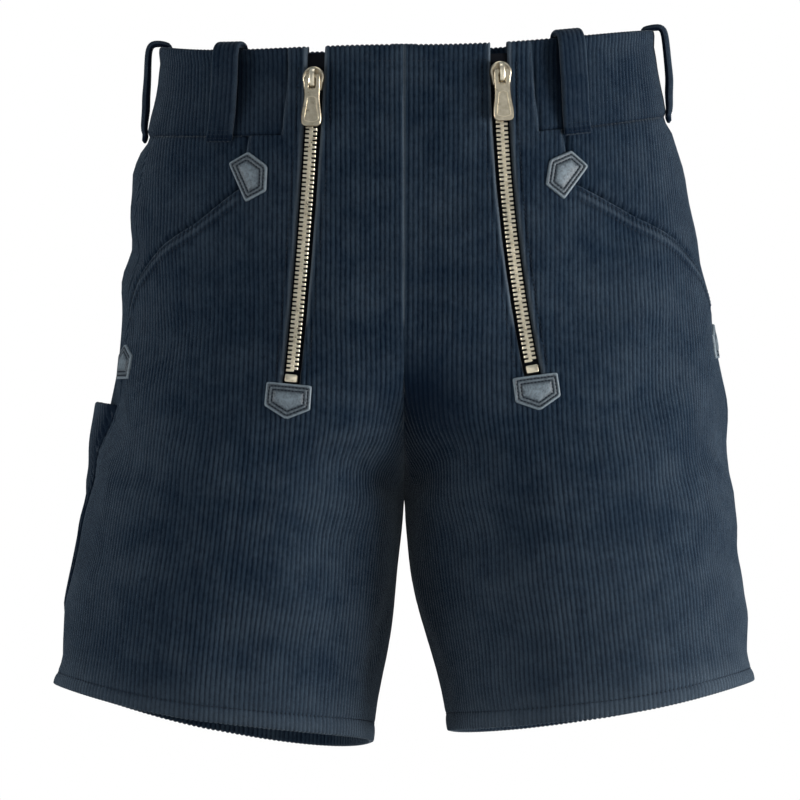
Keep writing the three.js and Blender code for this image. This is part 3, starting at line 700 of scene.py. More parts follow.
def wale_columns(low, high):
    """Column places: the groove, the two shoulders and the crown of every wale between low and high."""
    first, last = int(np.floor(low / WALE)), int(np.ceil(high / WALE))
    return (np.arange(first, last + 1)[:, None] + np.array([0, 0.22, 0.5, 0.78])).ravel() * WALE


def wale_height(across):
    """0 on a wale's crown, minus the groove's depth between two wales, round in between."""
    return GROOVE * (np.abs(np.sin(np.pi * across / WALE)) ** 0.6 - 1)


ROLL = 2.5  # radius of the roll beside the zip
BESIDE_ZIP = 4.5  # from the slit's edge to its stitch row


def rolled(distance):
    """A quarter circle down to the edge, and its stitch line's dip beyond it."""
    within = ROLL - np.clip(distance, 0, ROLL)
    return np.sqrt(ROLL**2 - within**2) - ROLL - 0.6 * bell(distance - BESIDE_ZIP, 1.2)


EDGES = {  # stand-off by the distance to an edge
    "middle": lambda d: -0.9 * bell(d, 1.4),
    "seam": lambda d: -1.2 * bell(d, 1.6),
    "felled": lambda d: 0.6 * bell(d - 3.5, 3) - 1.1 * bell(d, 1.3),
    "rolled": rolled,
    "under": lambda d: -3.4 + 3.4 * smooth(d, 8, 15),
    "mouth": lambda d: -1.3 * bell(d, 1.3),
}
WEAR = {  # how rubbed the pile is there; less than 0 is painted shade
    "middle": lambda d: 0.5 * (d < 0.6),
    "seam": lambda d: 0.10 * bell(d, 1.4),
    "felled": lambda d: 0.14 * bell(d - 2, 1.6),
    "rolled": lambda d: 0.62 * bell(d - 0.9, 1.1),
    "under": lambda d: 0 * d,
    "mouth": lambda d: 0.10 * bell(d - 1.4, 1.2),
}
CUT_EDGE = 0.55  # how far in the outermost row of points lies
FOLD_WEAR, SCALLOP = 0.10, 0.9  # on a folded edge: how rubbed it is, and how much deeper its grooves are
HALF_SEAM = 0.12  # how far short of the middle plane a half ends


def panel(outer, inner, across, along, worn, width, area):
    """A part for sew, from two grids of points, each point's place across and along the wales, its wear and
    its painted light and shade, and the part's flat width and area."""
    size = outer.shape[:2]
    across, along, worn = (np.broadcast_to(values, size) for values in (across, along, worn))
    return {
        "outer": outer.reshape(-1, 3),
        "inner": inner.reshape(-1, 3),
        "triangles": grid_triangles(*size),
        "grain": np.stack([across, along], -1).reshape(-1, 2),
        "worn": worn.ravel(),
        "width": float(width),
        "span": (float(along[0, 0]), float(along[-1, 0])),
        "area": float(area),
    }


def turned(out, down, turn):
    """The way a row faces: outwards, turned towards the way down by the row's angle."""
    return out * np.cos(turn)[:, None, None] + down * np.sin(turn)[:, None, None]


def cut(name, rows, low, high, edges=("seam", "seam"), extra=None, worn=None, back=False):
    """A panel's pile face and back between two edges. low and high take the drops and the arcs round each
    row and give each edge's place across the wales. extra adds to the stand-off, and the function after it
    adds wear and painted light, and painted shade below 0. An edge called middle meets the other half, so
    its points keep their distance from the middle plane."""
    half = HALF[name]
    drop, off, turn = rows
    arcs = wale_arcs(half, drop, back)
    left, right = low(drop, arcs), high(drop, arcs)
    columns = wale_columns(left.min(), right.max())
    across = np.clip(columns[None, :], left[:, None], right[:, None])
    near_edges = [left[:, None] + CUT_EDGE, right[:, None] - CUT_EDGE]
    across = np.sort(np.concatenate([across, *near_edges], axis=1), axis=1)
    girth = np.array([np.interp(a, arc, GIRTHS) for a, arc in zip(across, arcs)])
    deep = np.broadcast_to(drop[:, None], girth.shape)
    gaps = across - left[:, None], right[:, None] - across
    standing = off[:, None] + folds(name, girth, deep)
    standing = standing + EDGES[edges[0]](gaps[0]) + EDGES[edges[1]](gaps[1])
    if extra is not None:
        standing = standing + extra(girth, deep, turn[:, None])
    _, down, out = directions(half, girth, deep)
    smooth_skin = skin(half, girth, deep)
    base = smooth_skin + out * standing[..., None]
    facing = turned(out, unit(down), turn)
    along = summed(np.hypot(np.diff(drop), np.diff(off)))
    face = int(np.argmax((turn == 0) & (off == 0)))
    along += drop[face] - along[face]
    rub_and_shade = np.maximum(WEAR[edges[0]](gaps[0]), WEAR[edges[1]](gaps[1]))
    rub_and_shade = np.maximum(rub_and_shade, FOLD_WEAR * np.sin(np.abs(turn))[:, None] ** 2)
    # The panel's own marks: below 0 painted shade, above 0 wear and painted light
    if worn is not None:
        own = worn(girth, deep, turn[:, None])
        rub_and_shade = np.where(own < 0, own, np.maximum(rub_and_shade, own))
    scalloped = 1 + SCALLOP * np.sin(turn)[:, None] ** 2
    outer = base + facing * (wale_height(across) * scalloped)[..., None]
    if "middle" in edges:
        from_middle = gaps[edges.index("middle")]
        hold = (1 - smooth(from_middle, 0, 4)) * (1 - smooth(deep, CROTCH - 2, CROTCH + 8))
        plane = smooth_skin[..., 0] - half["sign"] * HALF_SEAM
        outer[..., 0] = outer[..., 0] * (1 - hold) + plane * hold
    width = right - left
    area = np.sum(np.diff(along) * width[1:])
    return panel(outer, base - facing * THICK, across, along[:, None], rub_and_shade, width.max(), area)


def lay_flat(node, width, length, area):
    """Hides the plain solid called node, which the piece takes the place of. The sheet's flat size and area
    are worked out, but nothing uses them.
    """
    flat = (width * METRE, length * METRE)
    area * METRE**2
    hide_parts(node)


def sew(name, *parts, slot="corduroy", rests_on=(), look=None):
    """One cloth piece from the parts of its panel, with the flat size of the sheet that it was cut from
    worked out and printed.
    """
    sizes = np.cumsum([0] + [len(part["outer"]) for part in parts])
    outer, inner, grain, worn = (
        np.concatenate([part[key] for part in parts]) for key in ("outer", "inner", "grain", "worn")
    )
    triangles = np.concatenate([part["triangles"] + start for part, start in zip(parts, sizes)])
    points, faces, first = closed_wall(outer, inner, triangles)
    twice = np.concatenate([first, first])
    inside = np.repeat([0.0, 1.0], len(first))
    marks = {"worn": worn[twice] * (1 - inside), "inside": inside}
    piece = make_piece(name, points, faces, look or corduroy, marks=marks, grain=grain[twice], sharp=75)
    width = max(part["width"] for part in parts)
    length = max(part["span"][1] for part in parts) - min(part["span"][0] for part in parts)
    area = sum(part["area"] for part in parts)
    width = max(width, area / length * 1.001)
    lay_flat(name, width, length, area)
    print(f"{name}: {width:.0f} x {length:.0f} mm, {len(faces)} triangles")
    return piece


# %% [markdown]
# ## Fronts and backs
#
# A front runs from the centre seam to the side seam and from the top edge to the hem. The zip's slit divides
# its upper part into the flap and the hip, and the slanted pocket mouth takes its upper corner off. A back
# runs from the side seam to the centre back. Hems and top edges are folded, so their wales go round the edge.


# %% Where the panels' edges run
def seam_girth(half, drop):
    body, leg = half["side_seam"]
    return body + (leg - body) * smooth(drop, 205, 300)


def mouth_line(half, along):
    """The girth a share of the way from the pocket mouth's front end to the side seam."""
    return MOUTH_START + (half["side_seam"][0] - MOUTH_START) * along


def mouth_girth(half, drop):
    """The pocket mouth's girth at a drop. Above the mouth it is that of the mouth's front end."""
    return mouth_line(half, np.interp(drop, MOUTH["drop"], MOUTH["along"]))


def outer_edge(half, drop):
    """The front's outer edge: the band's end, the pocket's front end, the slanted mouth, the side seam."""
    return np.select(
        [drop < BAND + 0.1, drop <= MOUTH["drop"][-1]],
        [half["band_end"], mouth_girth(half, drop)],
        seam_girth(half, drop),
    )


def slit_end(half):
    return TOP_HEIGHT - half["zip"]["foot_height"] + 3


SLIT = 5.7  # half the width left open for the zip
STITCH_ROW = 12.0  # hem depth
TOP_ROW = 11.0  # the stitch row under the top edge
MOUTH_ROWS = (2.8, 9.5)  # the two stitch rows, by their way below the mouth
ROW_STEP = 7.0  # from one row of points to the next in a leg
HEM_ROWS = np.arange(HEM - 18, HEM - 3, 2.0)  # closer rows at the hem


# %% How the sewn places stand and rub
INNER_SHADE = {"left": (44, 0.9), "right": (22, 0.1)}  # how far it reaches from the inseam, and how dark
LEG_PAINTED_LIGHT = {"left": 0.06, "right": 0.02}  # painted light: how much paler the front of a leg is painted towards its hem
BAND_SHADE = {"left": 0.2, "right": 0.22}  # painted shade: how much darker the waistband's strips are painted


def hem_shape(girth, deep, turn):
    """The turned-up hem pads the edge out, and its stitches draw the cloth in above it."""
    above = HEM - deep
    stitched = 0.6 * (1 - smooth(above, 5, 13)) - 0.55 * bell(above - STITCH_ROW, 1.6)
    return stitched * (np.cos(turn) > 0)


def hem_wear_light_and_shade(deep, turn):
    """The hem rubs most and is painted paler towards its edge, partly wear and partly painted light, and its
    stitch line gets painted shade.
    """
    above = HEM - deep
    paler = 0.10 * (1 - smooth(above, 10, 34)) + 0.07 * (1 - smooth(above, 3, 14))
    return (paler - 0.05 * bell(above - STITCH_ROW, 1.2)) * (np.cos(turn) > 0)


def inner_shade(name, girth, deep):
    """Painted shade on the cloth that turns in between the legs, most on the half that lies behind."""
    inwards = girth * ring_length(HALF[name], deep)
    reach, depth = INNER_SHADE[name]
    rows = smooth(deep, 180, 235) * (1 - 0.75 * smooth(deep, 310, 440))
    return -depth * rows * bell(inwards, reach)


def seam_valley(deep):
    """The cloth drawn in by the waistband's seam."""
    return -bell(deep - BAND, 1.6)


def seam_shade(deep):
    """Dark in the valley of the waistband's seam."""
    return -0.4 * bell(deep - BAND, 1.5)


def below_mouth(half, girth, deep):
    """How far a place lies below the slanted mouth, and 1 where the mouth is above it."""
    below = deep - np.interp(girth, mouth_line(half, MOUTH["along"]), MOUTH["drop"])
    return below, smooth(girth, MOUTH_START - 0.004, MOUTH_START + 0.012) * (below > -1)


def mouth_shape(half, girth, deep):
    """A welt of folded cloth under the mouth, drawn in by its two rows of stitches."""
    below, there = below_mouth(half, girth, deep)
    first, second = (below - row for row in MOUTH_ROWS)
    return there * (1.1 * (1 - smooth(below, 8, 13)) - 0.6 * bell(first, 1.3) - 0.8 * bell(second, 1.5))


def mouth_wear_and_shade(half, girth, deep):
    """The welt's middle is rubbed, and its stitch rows get painted shade."""
    below, there = below_mouth(half, girth, deep)
    first, second = (below - row for row in MOUTH_ROWS)
    dark = 0.4 * bell(second - 0.5, 1.8) + 0.25 * bell(first, 1.2)
    return there * (0.14 * bell(below - 6, 2.2) - dark)


def top_shape(girth, deep, turn):
    """The folded top edge stands out a little and is drawn in at its stitch line."""
    stitched = 0.5 * (1 - smooth(deep, 5, 11)) - 0.5 * bell(deep - TOP_ROW, 1.5)
    return stitched * (np.cos(turn) > 0)


# %% Fronts and backs
def front(name):
    half = HALF[name]
    foot = slit_end(half)
    fine = np.arange(MOUTH["drop"][0], MOUTH["drop"][-1] + 1, 1.6)
    rows = [np.arange(4, BAND - 4, 8), [BAND, BAND + 0.2], np.arange(BAND + 7, fine[0] - 2, 8)]
    body = np.concatenate([*rows, fine, np.arange(fine[-1] + 6, foot - 4, ROW_STEP), [foot]])
    flap_rows = turned_rows(body[(body < BAND + 0.1) | (body > BAND + 1)], top=0)
    legs = np.concatenate([[foot], np.arange(foot + ROW_STEP, HEM - 20, ROW_STEP), HEM_ROWS])

    # Painted shade where the flap turns in towards the crotch
    def flap_shade(girth, deep, turn):
        return inner_shade(name, girth, deep)

    def hip_shape(girth, deep, turn):
        return top_shape(girth, deep, turn) + mouth_shape(half, girth, deep)

    # The welt's wear, and painted shade at its stitch rows
    def hip_wear_and_shade(girth, deep, turn):
        return mouth_wear_and_shade(half, girth, deep)

    def leg_wear_light_and_shade(girth, deep, turn):
        """Painted light makes the pile paler towards the hem, more on the leg nearer the key light; painted
        shade lies between the legs, and the hem also rubs.
        """
        shade = inner_shade(name, girth, deep)
        return hem_wear_light_and_shade(deep, turn) + shade + LEG_PAINTED_LIGHT[name] * smooth(deep, 215, 430) * (shade > -0.05)

    centre = edge(0.0)
    inner_slit, outer_slit = (edge(lambda drop: zip_girth(half, drop), sign * SLIT) for sign in (-1, 1))
    outer = edge(lambda drop: outer_edge(half, drop))
    return sew(
        f"front_{name}",
        cut(name, flap_rows, centre, inner_slit, ("middle", "rolled"), top_shape, flap_shade),
        cut(name, turned_rows(body, top=0), outer_slit, outer, ("rolled", "mouth"), hip_shape, hip_wear_and_shade),
        cut(name, turned_rows(legs, bottom=HEM), centre, outer, ("middle", "seam"), hem_shape, leg_wear_light_and_shade),
    )


def back(name):
    half = HALF[name]
    drops = np.concatenate([[BAND], np.arange(BAND + 4, HEM - 20, ROW_STEP), HEM_ROWS])

    def shape(girth, deep, turn):
        return hem_shape(girth, deep, turn) + seam_valley(deep)

    # The hem's wear and painted light, and painted shade in the waistband's seam
    def shade_and_wear(girth, deep, turn):
        return hem_wear_light_and_shade(deep, turn) + seam_shade(deep)

    rows, sides = turned_rows(drops, bottom=HEM), ("seam", "middle")
    side_seam = edge(lambda drop: seam_girth(half, drop))
    return sew(f"back_{name}", cut(name, rows, side_seam, edge(1.0), sides, shape, shade_and_wear, True))


for side in HALF:
    front(side)
    back(side)

# %% [markdown]
# ## Waistband and hip pockets
#
# The waistband is one strip a side, from beside the zip round to the centre back, folded at the top. The
# pocket piece fills the corner that the slanted mouth leaves open, and slips under the mouth's edge.


# %% Waistband and pocket pieces
UNDER_MOUTH = 9.0  # how far the pocket piece goes on under the mouth's edge
PIECE_FOOT = 174  # the pocket piece ends just below the mouth


def waistband(name):
    half = HALF[name]
    rows = turned_rows(np.concatenate([np.arange(4, BAND - 5, 7), [BAND - 3, BAND - 1.5, BAND]]), top=0)

    def shape(girth, deep, turn):
        return top_shape(girth, deep, turn) + seam_valley(deep)

    def shade_and_wear(girth, deep, turn):
        """Painted shade: dark under and just beside the loops and along the seam, and a little darker all
        over.
        """
        ring = ring_length(half, deep)
        loops = [half["front_loop"], half["side_loop"], 1.0]
        under = sum(np.exp(-(((girth - loop_at) * ring / 11.8) ** 6)) for loop_at in loops)
        return seam_shade(deep) - BAND_SHADE[name] - 0.5 * under * smooth(deep, 1, 8)

    sides = ("seam", "middle")
    return sew(f"band_{name}", cut(name, rows, edge(half["band_end"]), edge(1.0), sides, shape, shade_and_wear))


def pocket_piece(name):
    half = HALF[name]
    rows = turned_rows(np.concatenate([[BAND, BAND + 2, BAND + 4], np.arange(BAND + 8, PIECE_FOOT, 4.0)]))

    def shape(girth, deep, turn):
        return seam_valley(deep)

    def shade_and_wear(girth, deep, turn):
        below, _ = below_mouth(half, girth, deep)
        # Painted shade: a little darker all over, darkest where it goes under the mouth's edge, and in the
        # seam's valley
        return seam_shade(deep) - 0.08 - 0.45 * smooth(below, -6, 0)

    under_mouth = edge(lambda drop: mouth_girth(half, drop), -UNDER_MOUTH)
    side_seam = edge(lambda drop: seam_girth(half, drop))
    return sew(f"pocket_{name}", cut(name, rows, under_mouth, side_seam, ("under", "seam"), shape, shade_and_wear))


for side in HALF:
    waistband(side)
    pocket_piece(side)

# %% [markdown]
# ## Belt loops and the ruler pocket
#
# A belt loop is a doubled strap that goes over the top edge, stands off for the belt and is caught in the
# band's seam. The ruler pocket is a long flat pocket behind the right side seam, open at the top.

# %% Belt loops
LOOP_WIDTH, LOOP_ROUND = 18.5, 1.8  # the strap's width and the radius of its rounded edges
LOOP_PATH = table(
    "drop off thick",
    (14, -6.9, 3.4), (3, -6.7, 3.6), (-1.8, -5.2, 3.8), (-3.6, -2.0, 4.0), (-3.7, 1.6, 4.2),
    (-2.2, 4.8, 4.3), (1.5, 6.8, 4.3), (8, 7.5, 4.4), (22, 7.3, 4.6), (33, 6.4, 5.0), (43, 4.3, 5.0),
    (52, 2.7, 4.4), (57, 2.0, 3.8), (61, 1.7, 3.3), (62.4, 1.1, 1.2),
)


def loop(node, name, girth, arch):
    """The strap's middle line goes through the path's places, with its rise over the top edge scaled by
    arch. Its two faces lie half its thickness to either side, rounded together at both edges, with wales
    on the outer one. Its columns go by arc length, so it is as wide at the side as in front."""
    half = HALF[name]
    length = summed(np.hypot(np.diff(LOOP_PATH["drop"]), np.diff(LOOP_PATH["off"])))
    path = {"at": length, **LOOP_PATH}
    path["drop"] = np.where(path["drop"] < 0, path["drop"] * arch, path["drop"])
    at = np.linspace(0, length[-1], 56)
    drop, off, thick = (column(path, size, at, "at") for size in ("drop", "off", "thick"))
    turn = np.unwrap(np.arctan2(-np.gradient(off, at), np.gradient(drop, at)))
    half_width = LOOP_WIDTH / 2
    columns = wale_columns(-half_width, half_width)
    rim = half_width - LOOP_ROUND * (1 - np.cos(np.radians([0, 25, 45, 65, 90])))
    columns = np.unique(np.concatenate([columns[np.abs(columns) < half_width - LOOP_ROUND - 0.2], rim, -rim]))
    near = girth + np.linspace(-0.06, 0.06, 241)
    arc = length_along(skin(half, near, BAND / 2))
    g = np.interp(columns, arc - arc[len(near) // 2], near)
    g, deep = np.broadcast_arrays(g[None, :], drop[:, None])
    _, down, out = directions(half, g, deep)
    base = skin(half, g, deep) + out * (off[:, None] + folds(name, g, np.clip(deep, 4, BAND)))[..., None]
    facing = turned(out, unit(down), turn)
    past = np.clip((np.abs(columns) - (half_width - LOOP_ROUND)) / LOOP_ROUND, 0, 1)
    reach = (thick[:, None] / 2 * np.sqrt(1 - past**2))[..., None]
    ribs = (wale_height(columns) * 0.8 * (1 - past))[None, :, None]
    # The strap's foot is painted dark, a painted shade where it goes into the seam; its rounded edges are
    # rubbed paler
    worn = np.where(at[:, None] > length[-1] - 5, -0.6, 0.16 * past[None, :] ** 2)
    faces = base + facing * (reach + ribs), base - facing * reach
    part = panel(*faces, columns, at[:, None], worn, LOOP_WIDTH, LOOP_WIDTH * length[-1])
    return sew(node, part, rests_on=[f"band_{name}"], look=loop_corduroy)


FRONT_ARCH, BACK_ARCH = 0.75, 0.6
for side, half in HALF.items():
    loop(f"loop_front_{side}", side, half["front_loop"], FRONT_ARCH)
    loop(f"loop_side_{side}", side, half["side_loop"], half["side_arch"])
loop("loop_back", "right", 1.0, BACK_ARCH)

# %% The ruler pocket
POCKET_TOP, POCKET_LENGTH, POCKET_WIDTH, POCKET_MOUTH, BEHIND_SEAM = 233, 155, 60, 9, 5
POCKET_FOOT = POCKET_TOP + POCKET_LENGTH


def ruler_pocket(name):
    half = HALF[name]
    drops = [*np.arange(POCKET_TOP + 3, POCKET_FOOT - 2, 5.0), POCKET_FOOT]

    def across_pocket(girth, deep):
        """0 at the pocket's front edge and 1 at its back edge."""
        from_seam = (girth - seam_girth(half, deep)) * ring_length(half, deep)
        return np.clip((from_seam - BEHIND_SEAM) / POCKET_WIDTH, 0, 1)

    def shade_and_wear(girth, deep, turn):
        """Painted shade: dark near the side seam, whose edge shades it."""
        return 0.65 * smooth(across_pocket(girth, deep), 0.03, 0.3) - 0.65

    def shape(girth, deep, turn):
        """It bows out at the mouth and closes down to the back panel below, with flat sewn edges."""
        below = deep - POCKET_TOP
        open_by = (0.89 - 0.0095 * below) * (1 - smooth(below, 50, 74))
        bow = 1 - (2 * across_pocket(girth, deep) - 1) ** 4
        return 0.4 + THICK + POCKET_MOUTH * open_by * bow - 0.8 * bell(deep - POCKET_FOOT, 1.2)

    start = edge(lambda drop: seam_girth(half, drop), BEHIND_SEAM)
    end = edge(lambda drop: seam_girth(half, drop), BEHIND_SEAM, POCKET_WIDTH)
    rows = turned_rows(drops, top=POCKET_TOP, inside=9)
    part = cut(name, rows, start, end, ("felled", "felled"), shape, shade_and_wear, True)
    return sew(f"ruler_pocket_{name}", part, rests_on=[f"back_{name}"])


ruler_pocket("right")

# %% [markdown]
# ## Small repeated things
#
# Stitches and zip teeth are one small shape, copied to many places and joined in one mesh. Each copy gets
# its own three directions: along the row, across it, and out of the cloth.


# %% Copies of one shape, and skins through rings
def copies(points, faces, places, axes):
    """The shape's points turned by each place's axes (rows: its x, y and z) and moved there, as one mesh."""
    moved = np.einsum("pi,nij->npj", points, axes) + places[:, None, :]
    numbers = faces[None, :, :] + (np.arange(len(places)) * len(points))[:, None, None]
    return moved.reshape(-1, 3), numbers.reshape(-1, 3)


def lofted(ring_points, wrap=False):
    """A closed skin through rings of equal count. Unless the last ring joins the first, both ends close to
    their middle points."""
    count, size, _ = ring_points.shape
    points = ring_points.reshape(-1, 3)
    following = [(r, (r + 1) % count) for r in range(count if wrap else count - 1)]
    i = np.arange(size)
    j = (i + 1) % size
    faces = []
    for a, b in following:
        faces += [np.stack([a * size + i, a * size + j, b * size + j], 1)]
        faces += [np.stack([a * size + i, b * size + j, b * size + i], 1)]
    if not wrap:
        points = np.concatenate([points, [ring_points[0].mean(0), ring_points[-1].mean(0)]])
        first, last = count * size, (count - 1) * size
        faces += [np.stack([j, i, np.full(size, first)], 1)]
        faces += [np.stack([last + i, last + j, np.full(size, first + 1)], 1)]
    faces = np.concatenate(faces)
    return points, outwards(points, faces)


def joined(*meshes):
    starts = np.cumsum([0] + [len(points) for points, _ in meshes])
    return (
        np.concatenate([points for points, _ in meshes]),
        np.concatenate([faces + start for (_, faces), start in zip(meshes, starts)]),
    )


def resample(line, step):
    """Points a given step apart along a line of points, and the way along it there."""
    length = length_along(line)
    at = np.arange(step / 2, length[-1], step)
    near, ahead, behind = (
        np.stack([np.interp(at + moved, length, line[:, k]) for k in range(line.shape[1])], 1)
        for moved in (0, 0.2, -0.2)
    )
    return near, unit(ahead - behind)


def softened(line, times):
    """A closed line with its corners rounded a little, as often as asked."""
    for _ in range(times):
        line = line * 0.5 + (np.roll(line, 1, 0) + np.roll(line, -1, 0)) * 0.25
    return line


def stitch_shape(length, radius):
    """One stitch: a thin round thread along x that dips into the cloth at both ends."""
    x = np.linspace(-0.5, 0.5, 6)
    angle = np.linspace(0, 2 * np.pi, 6, endpoint=False)
    thick = radius * np.sqrt(np.clip(1 - (2 * x) ** 4, 0.05, 1))
    y = thick[:, None] * np.cos(angle)
    z = thick[:, None] * np.sin(angle) - (2 * x[:, None]) ** 2 * radius * 1.6
    return lofted(np.stack([np.broadcast_to(x[:, None] * length, y.shape), y, z], -1))


def stitches_on(name, girth, drop, off, pitch, radius=0.33):
    """A row of stitches on the cloth along a line of places."""
    half = HALF[name]
    _, _, out = directions(half, girth, drop)
    stand = np.broadcast_to(off, np.shape(girth)) + folds(name, girth, drop)
    line = skin(half, girth, drop) + out * stand[:, None]
    both, along = resample(np.concatenate([line, out], 1), pitch)
    places, along, out = both[:, :3], unit(along[:, :3]), unit(both[:, 3:])
    side_way = unit(np.cross(out, along))
    axes = np.stack([along, side_way, np.cross(along, side_way)], 1)
    points, faces = stitch_shape(pitch * 0.72, radius)
    return copies(points, faces, places, axes)


# %% [markdown]
# ## Stitch rows
#
# Dark thread, about three millimetres a stitch: one row round each hem, two below each pocket mouth, one on
# either side of each zip, one under the flap's top edge and one along the waistband's foot. Three short bar
# tacks of closer stitches cross each belt loop's foot.


# %% Rows of stitches
STITCH, TACK_STITCH = 3.1, 1.9  # one stitch's length, in a row and in a bar tack
TACK_DROPS = (55.5, 58.0, 60.5)


def stitch_rows(name):
    half = HALF[name]
    rows = []

    def row(girth, drop, off, pitch=STITCH):
        rows.append(stitches_on(name, *together(girth, drop), off, pitch))

    row(np.linspace(0.004, 0.996, 240), HEM - STITCH_ROW, -0.4)
    mouth_drops = np.linspace(MOUTH["drop"][0] + 2, MOUTH["drop"][-1], 60)
    for below, off in zip(MOUTH_ROWS, (0.75, 0.15)):
        row(mouth_girth(half, mouth_drops), mouth_drops + below, off)
    zip_drops = np.linspace(ZIP_TOP_DROP + 8, slit_end(half) - 6, 60)
    at_zip = ring_length(half, zip_drops)
    for sign in (-1, 1):
        row(zip_girth(half, zip_drops) + sign * (SLIT + BESIDE_ZIP) / at_zip, zip_drops, -0.3)
    flap_end = float(zip_girth(half, TOP_ROW)) - 8 / at_zip[0]
    row(np.linspace(0.006, flap_end, 30), TOP_ROW, -0.5)
    row(np.linspace(half["band_end"] + 0.004, 0.998, 160), BAND - 2.6, -0.5)
    loops = [half["front_loop"], half["side_loop"], 1.0]
    outer_face = LOOP_PATH["off"] + LOOP_PATH["thick"] / 2
    for loop_at in loops[: 3 if name == "right" else 2]:
        for drop in TACK_DROPS:
            reach = (LOOP_WIDTH / 2 - 1.5) / float(ring_length(half, drop))
            strap = np.interp(drop, LOOP_PATH["drop"][5:], outer_face[5:])
            row(loop_at + np.linspace(-reach, min(reach, 1 - loop_at), 12), drop, strap + 0.05, TACK_STITCH)
    points, faces = joined(*rows)
    piece = make_piece(f"stitches_{name}", points, faces, thread)
    print(f"stitches_{name}: {len(faces)} triangles")


for side in HALF:
    stitch_rows(side)

# %% [markdown]
# ## Leather patches
#
# Each patch is a small pentagon of thick leather. Its edge is bevelled, two rows of stitches press channels
# into it, and the middle swells between them. It takes the strain where a pocket or a zip ends.

# %% Patches
PATCH_BASE, PATCH_SIDE, PATCH_PEAK, PATCH_TIP = 29.5, 15.5, 22.5, 1.2
PATCH_SHAPE = table(
    "inset height worn",
    (0, -0.9, 0.2), (0, 0.5, 0.8), (0.25, 1.15, 1.0), (0.8, 1.5, 0.9), (1.5, 1.5, 0.35), (1.95, 1.2, -0.1),
    (2.3, 0.85, -0.3), (2.65, 1.2, -0.1), (3.1, 1.5, 0.45), (3.9, 1.5, 0.35), (4.3, 1.2, -0.1),
    (4.65, 0.85, -0.3), (5.0, 1.25, -0.1), (5.8, 1.75, 0.45), (7.4, 2.0, 0.7), (9.4, 2.1, 0.7),
)
PATCH_STITCH_INSETS = (2.3, 4.65)
PATCH_STITCH, PATCH_PITCH, PATCH_THREAD = 1.6, 2.3, 0.36  # a stitch's length, the next one, its radius
PATCH_THREAD_HEIGHT = 1.2


def patch_outline(inset):
    """The pentagon's corners moved inwards by `inset` along the lines that halve its angles."""
    wide, tip = PATCH_BASE / 2, PATCH_TIP
    right_half = [(wide, 0), (wide, PATCH_SIDE), (tip, PATCH_PEAK)]
    corners = np.array([(-wide, 0)] + right_half + [(-tip, PATCH_PEAK), (-wide, PATCH_SIDE)])
    before, after = unit(corners - np.roll(corners, 1, 0)), unit(np.roll(corners, -1, 0) - corners)
    inwards = unit(np.stack([-before[:, 1] - after[:, 1], before[:, 0] + after[:, 0]], 1))
    reach = inset / (inwards[:, 0] * -after[:, 1] + inwards[:, 1] * after[:, 0])
    moved = corners + inwards * reach[:, None]
    middle = (moved[3] + moved[4]) / 2
    tip_room = max(tip - inset * 0.24, 0.05)
    moved[3], moved[4] = middle + (tip_room, 0), middle - (tip_room, 0)
    share = np.linspace(0, 1, 20, endpoint=False)[None, :, None]
    line = (moved[:, None] * (1 - share) + np.roll(moved, -1, 0)[:, None] * share).reshape(-1, 2)
    return softened(line, 2)


def on_patch(name, girth, drop, turn, outline):
    """Where the patch's own x and y come to lie on the cloth, and the way out there."""
    half = HALF[name]
    angle = np.radians(turn) * half["sign"]
    x, y = outline[..., 0], outline[..., 1]
    across, below = x * np.cos(angle) - y * np.sin(angle), -(x * np.sin(angle) + y * np.cos(angle))
    g, d = shifted(half, girth, drop, across, below)
    _, _, out = directions(half, g, d)
    lying = np.float64(folds(name, np.float64(girth), np.float64(drop)))
    return skin(half, g, d) + out * (0.6 * folds(name, g, d) + 0.4 * lying)[..., None], out


def patch(node, name, girth, drop, turn):
    outlines = np.stack([patch_outline(inset) for inset in PATCH_SHAPE["inset"]])
    base, out = on_patch(name, girth, drop, turn, outlines)
    points, faces = lofted(base + out * PATCH_SHAPE["height"][:, None, None])
    worn = np.concatenate([np.repeat(PATCH_SHAPE["worn"], outlines.shape[1]), [0.0, 1.0]])
    piece = make_piece(node, points, faces, leather, marks={"worn": worn}, sharp=70)
    area = PATCH_BASE * PATCH_SIDE + (PATCH_BASE / 2 + PATCH_TIP) * (PATCH_PEAK - PATCH_SIDE)
    lay_flat(node, PATCH_BASE, PATCH_PEAK, area)
    rows = []
    for inset in PATCH_STITCH_INSETS:
        line = patch_outline(inset)
        line, way = on_patch(name, girth, drop, turn, np.concatenate([line, line[:1]]))
        both, along = resample(np.concatenate([line + way * PATCH_THREAD_HEIGHT, way], 1), PATCH_PITCH)
        along, way = unit(along[:, :3]), unit(both[:, 3:])
        axes = np.stack([along, unit(np.cross(way, along)), way], 1)
        rows.append(copies(*stitch_shape(PATCH_STITCH, PATCH_THREAD), both[:, :3], axes))
    return rows


patch_rows = []
for side, half in HALF.items():
    for kind in ("pocket", "zip"):
        x, z, turn = half[f"{kind}_patch"]
        patch_rows += patch(f"patch_{kind}_{side}", side, *on_front(half, x, z), turn)
    base_drop = half["side_patch_drop"] + PATCH_PEAK / 2
    patch_rows += patch(f"patch_side_{side}", side, half["side_seam"][0], base_drop, 0)
patch_thread = make_piece("stitches_patches", *joined(*patch_rows), thread)
print("patch stitches:", len(patch_thread.data.polygons), "triangles")

# %% [markdown]
# ## Zips
#
# A heavy brass zip: a black woven tape behind the slit, two rows of teeth that mesh in the middle, a bottom
# stop, and at the top a slider whose crown holds the pull tab. The tab swings about the crown's pin.

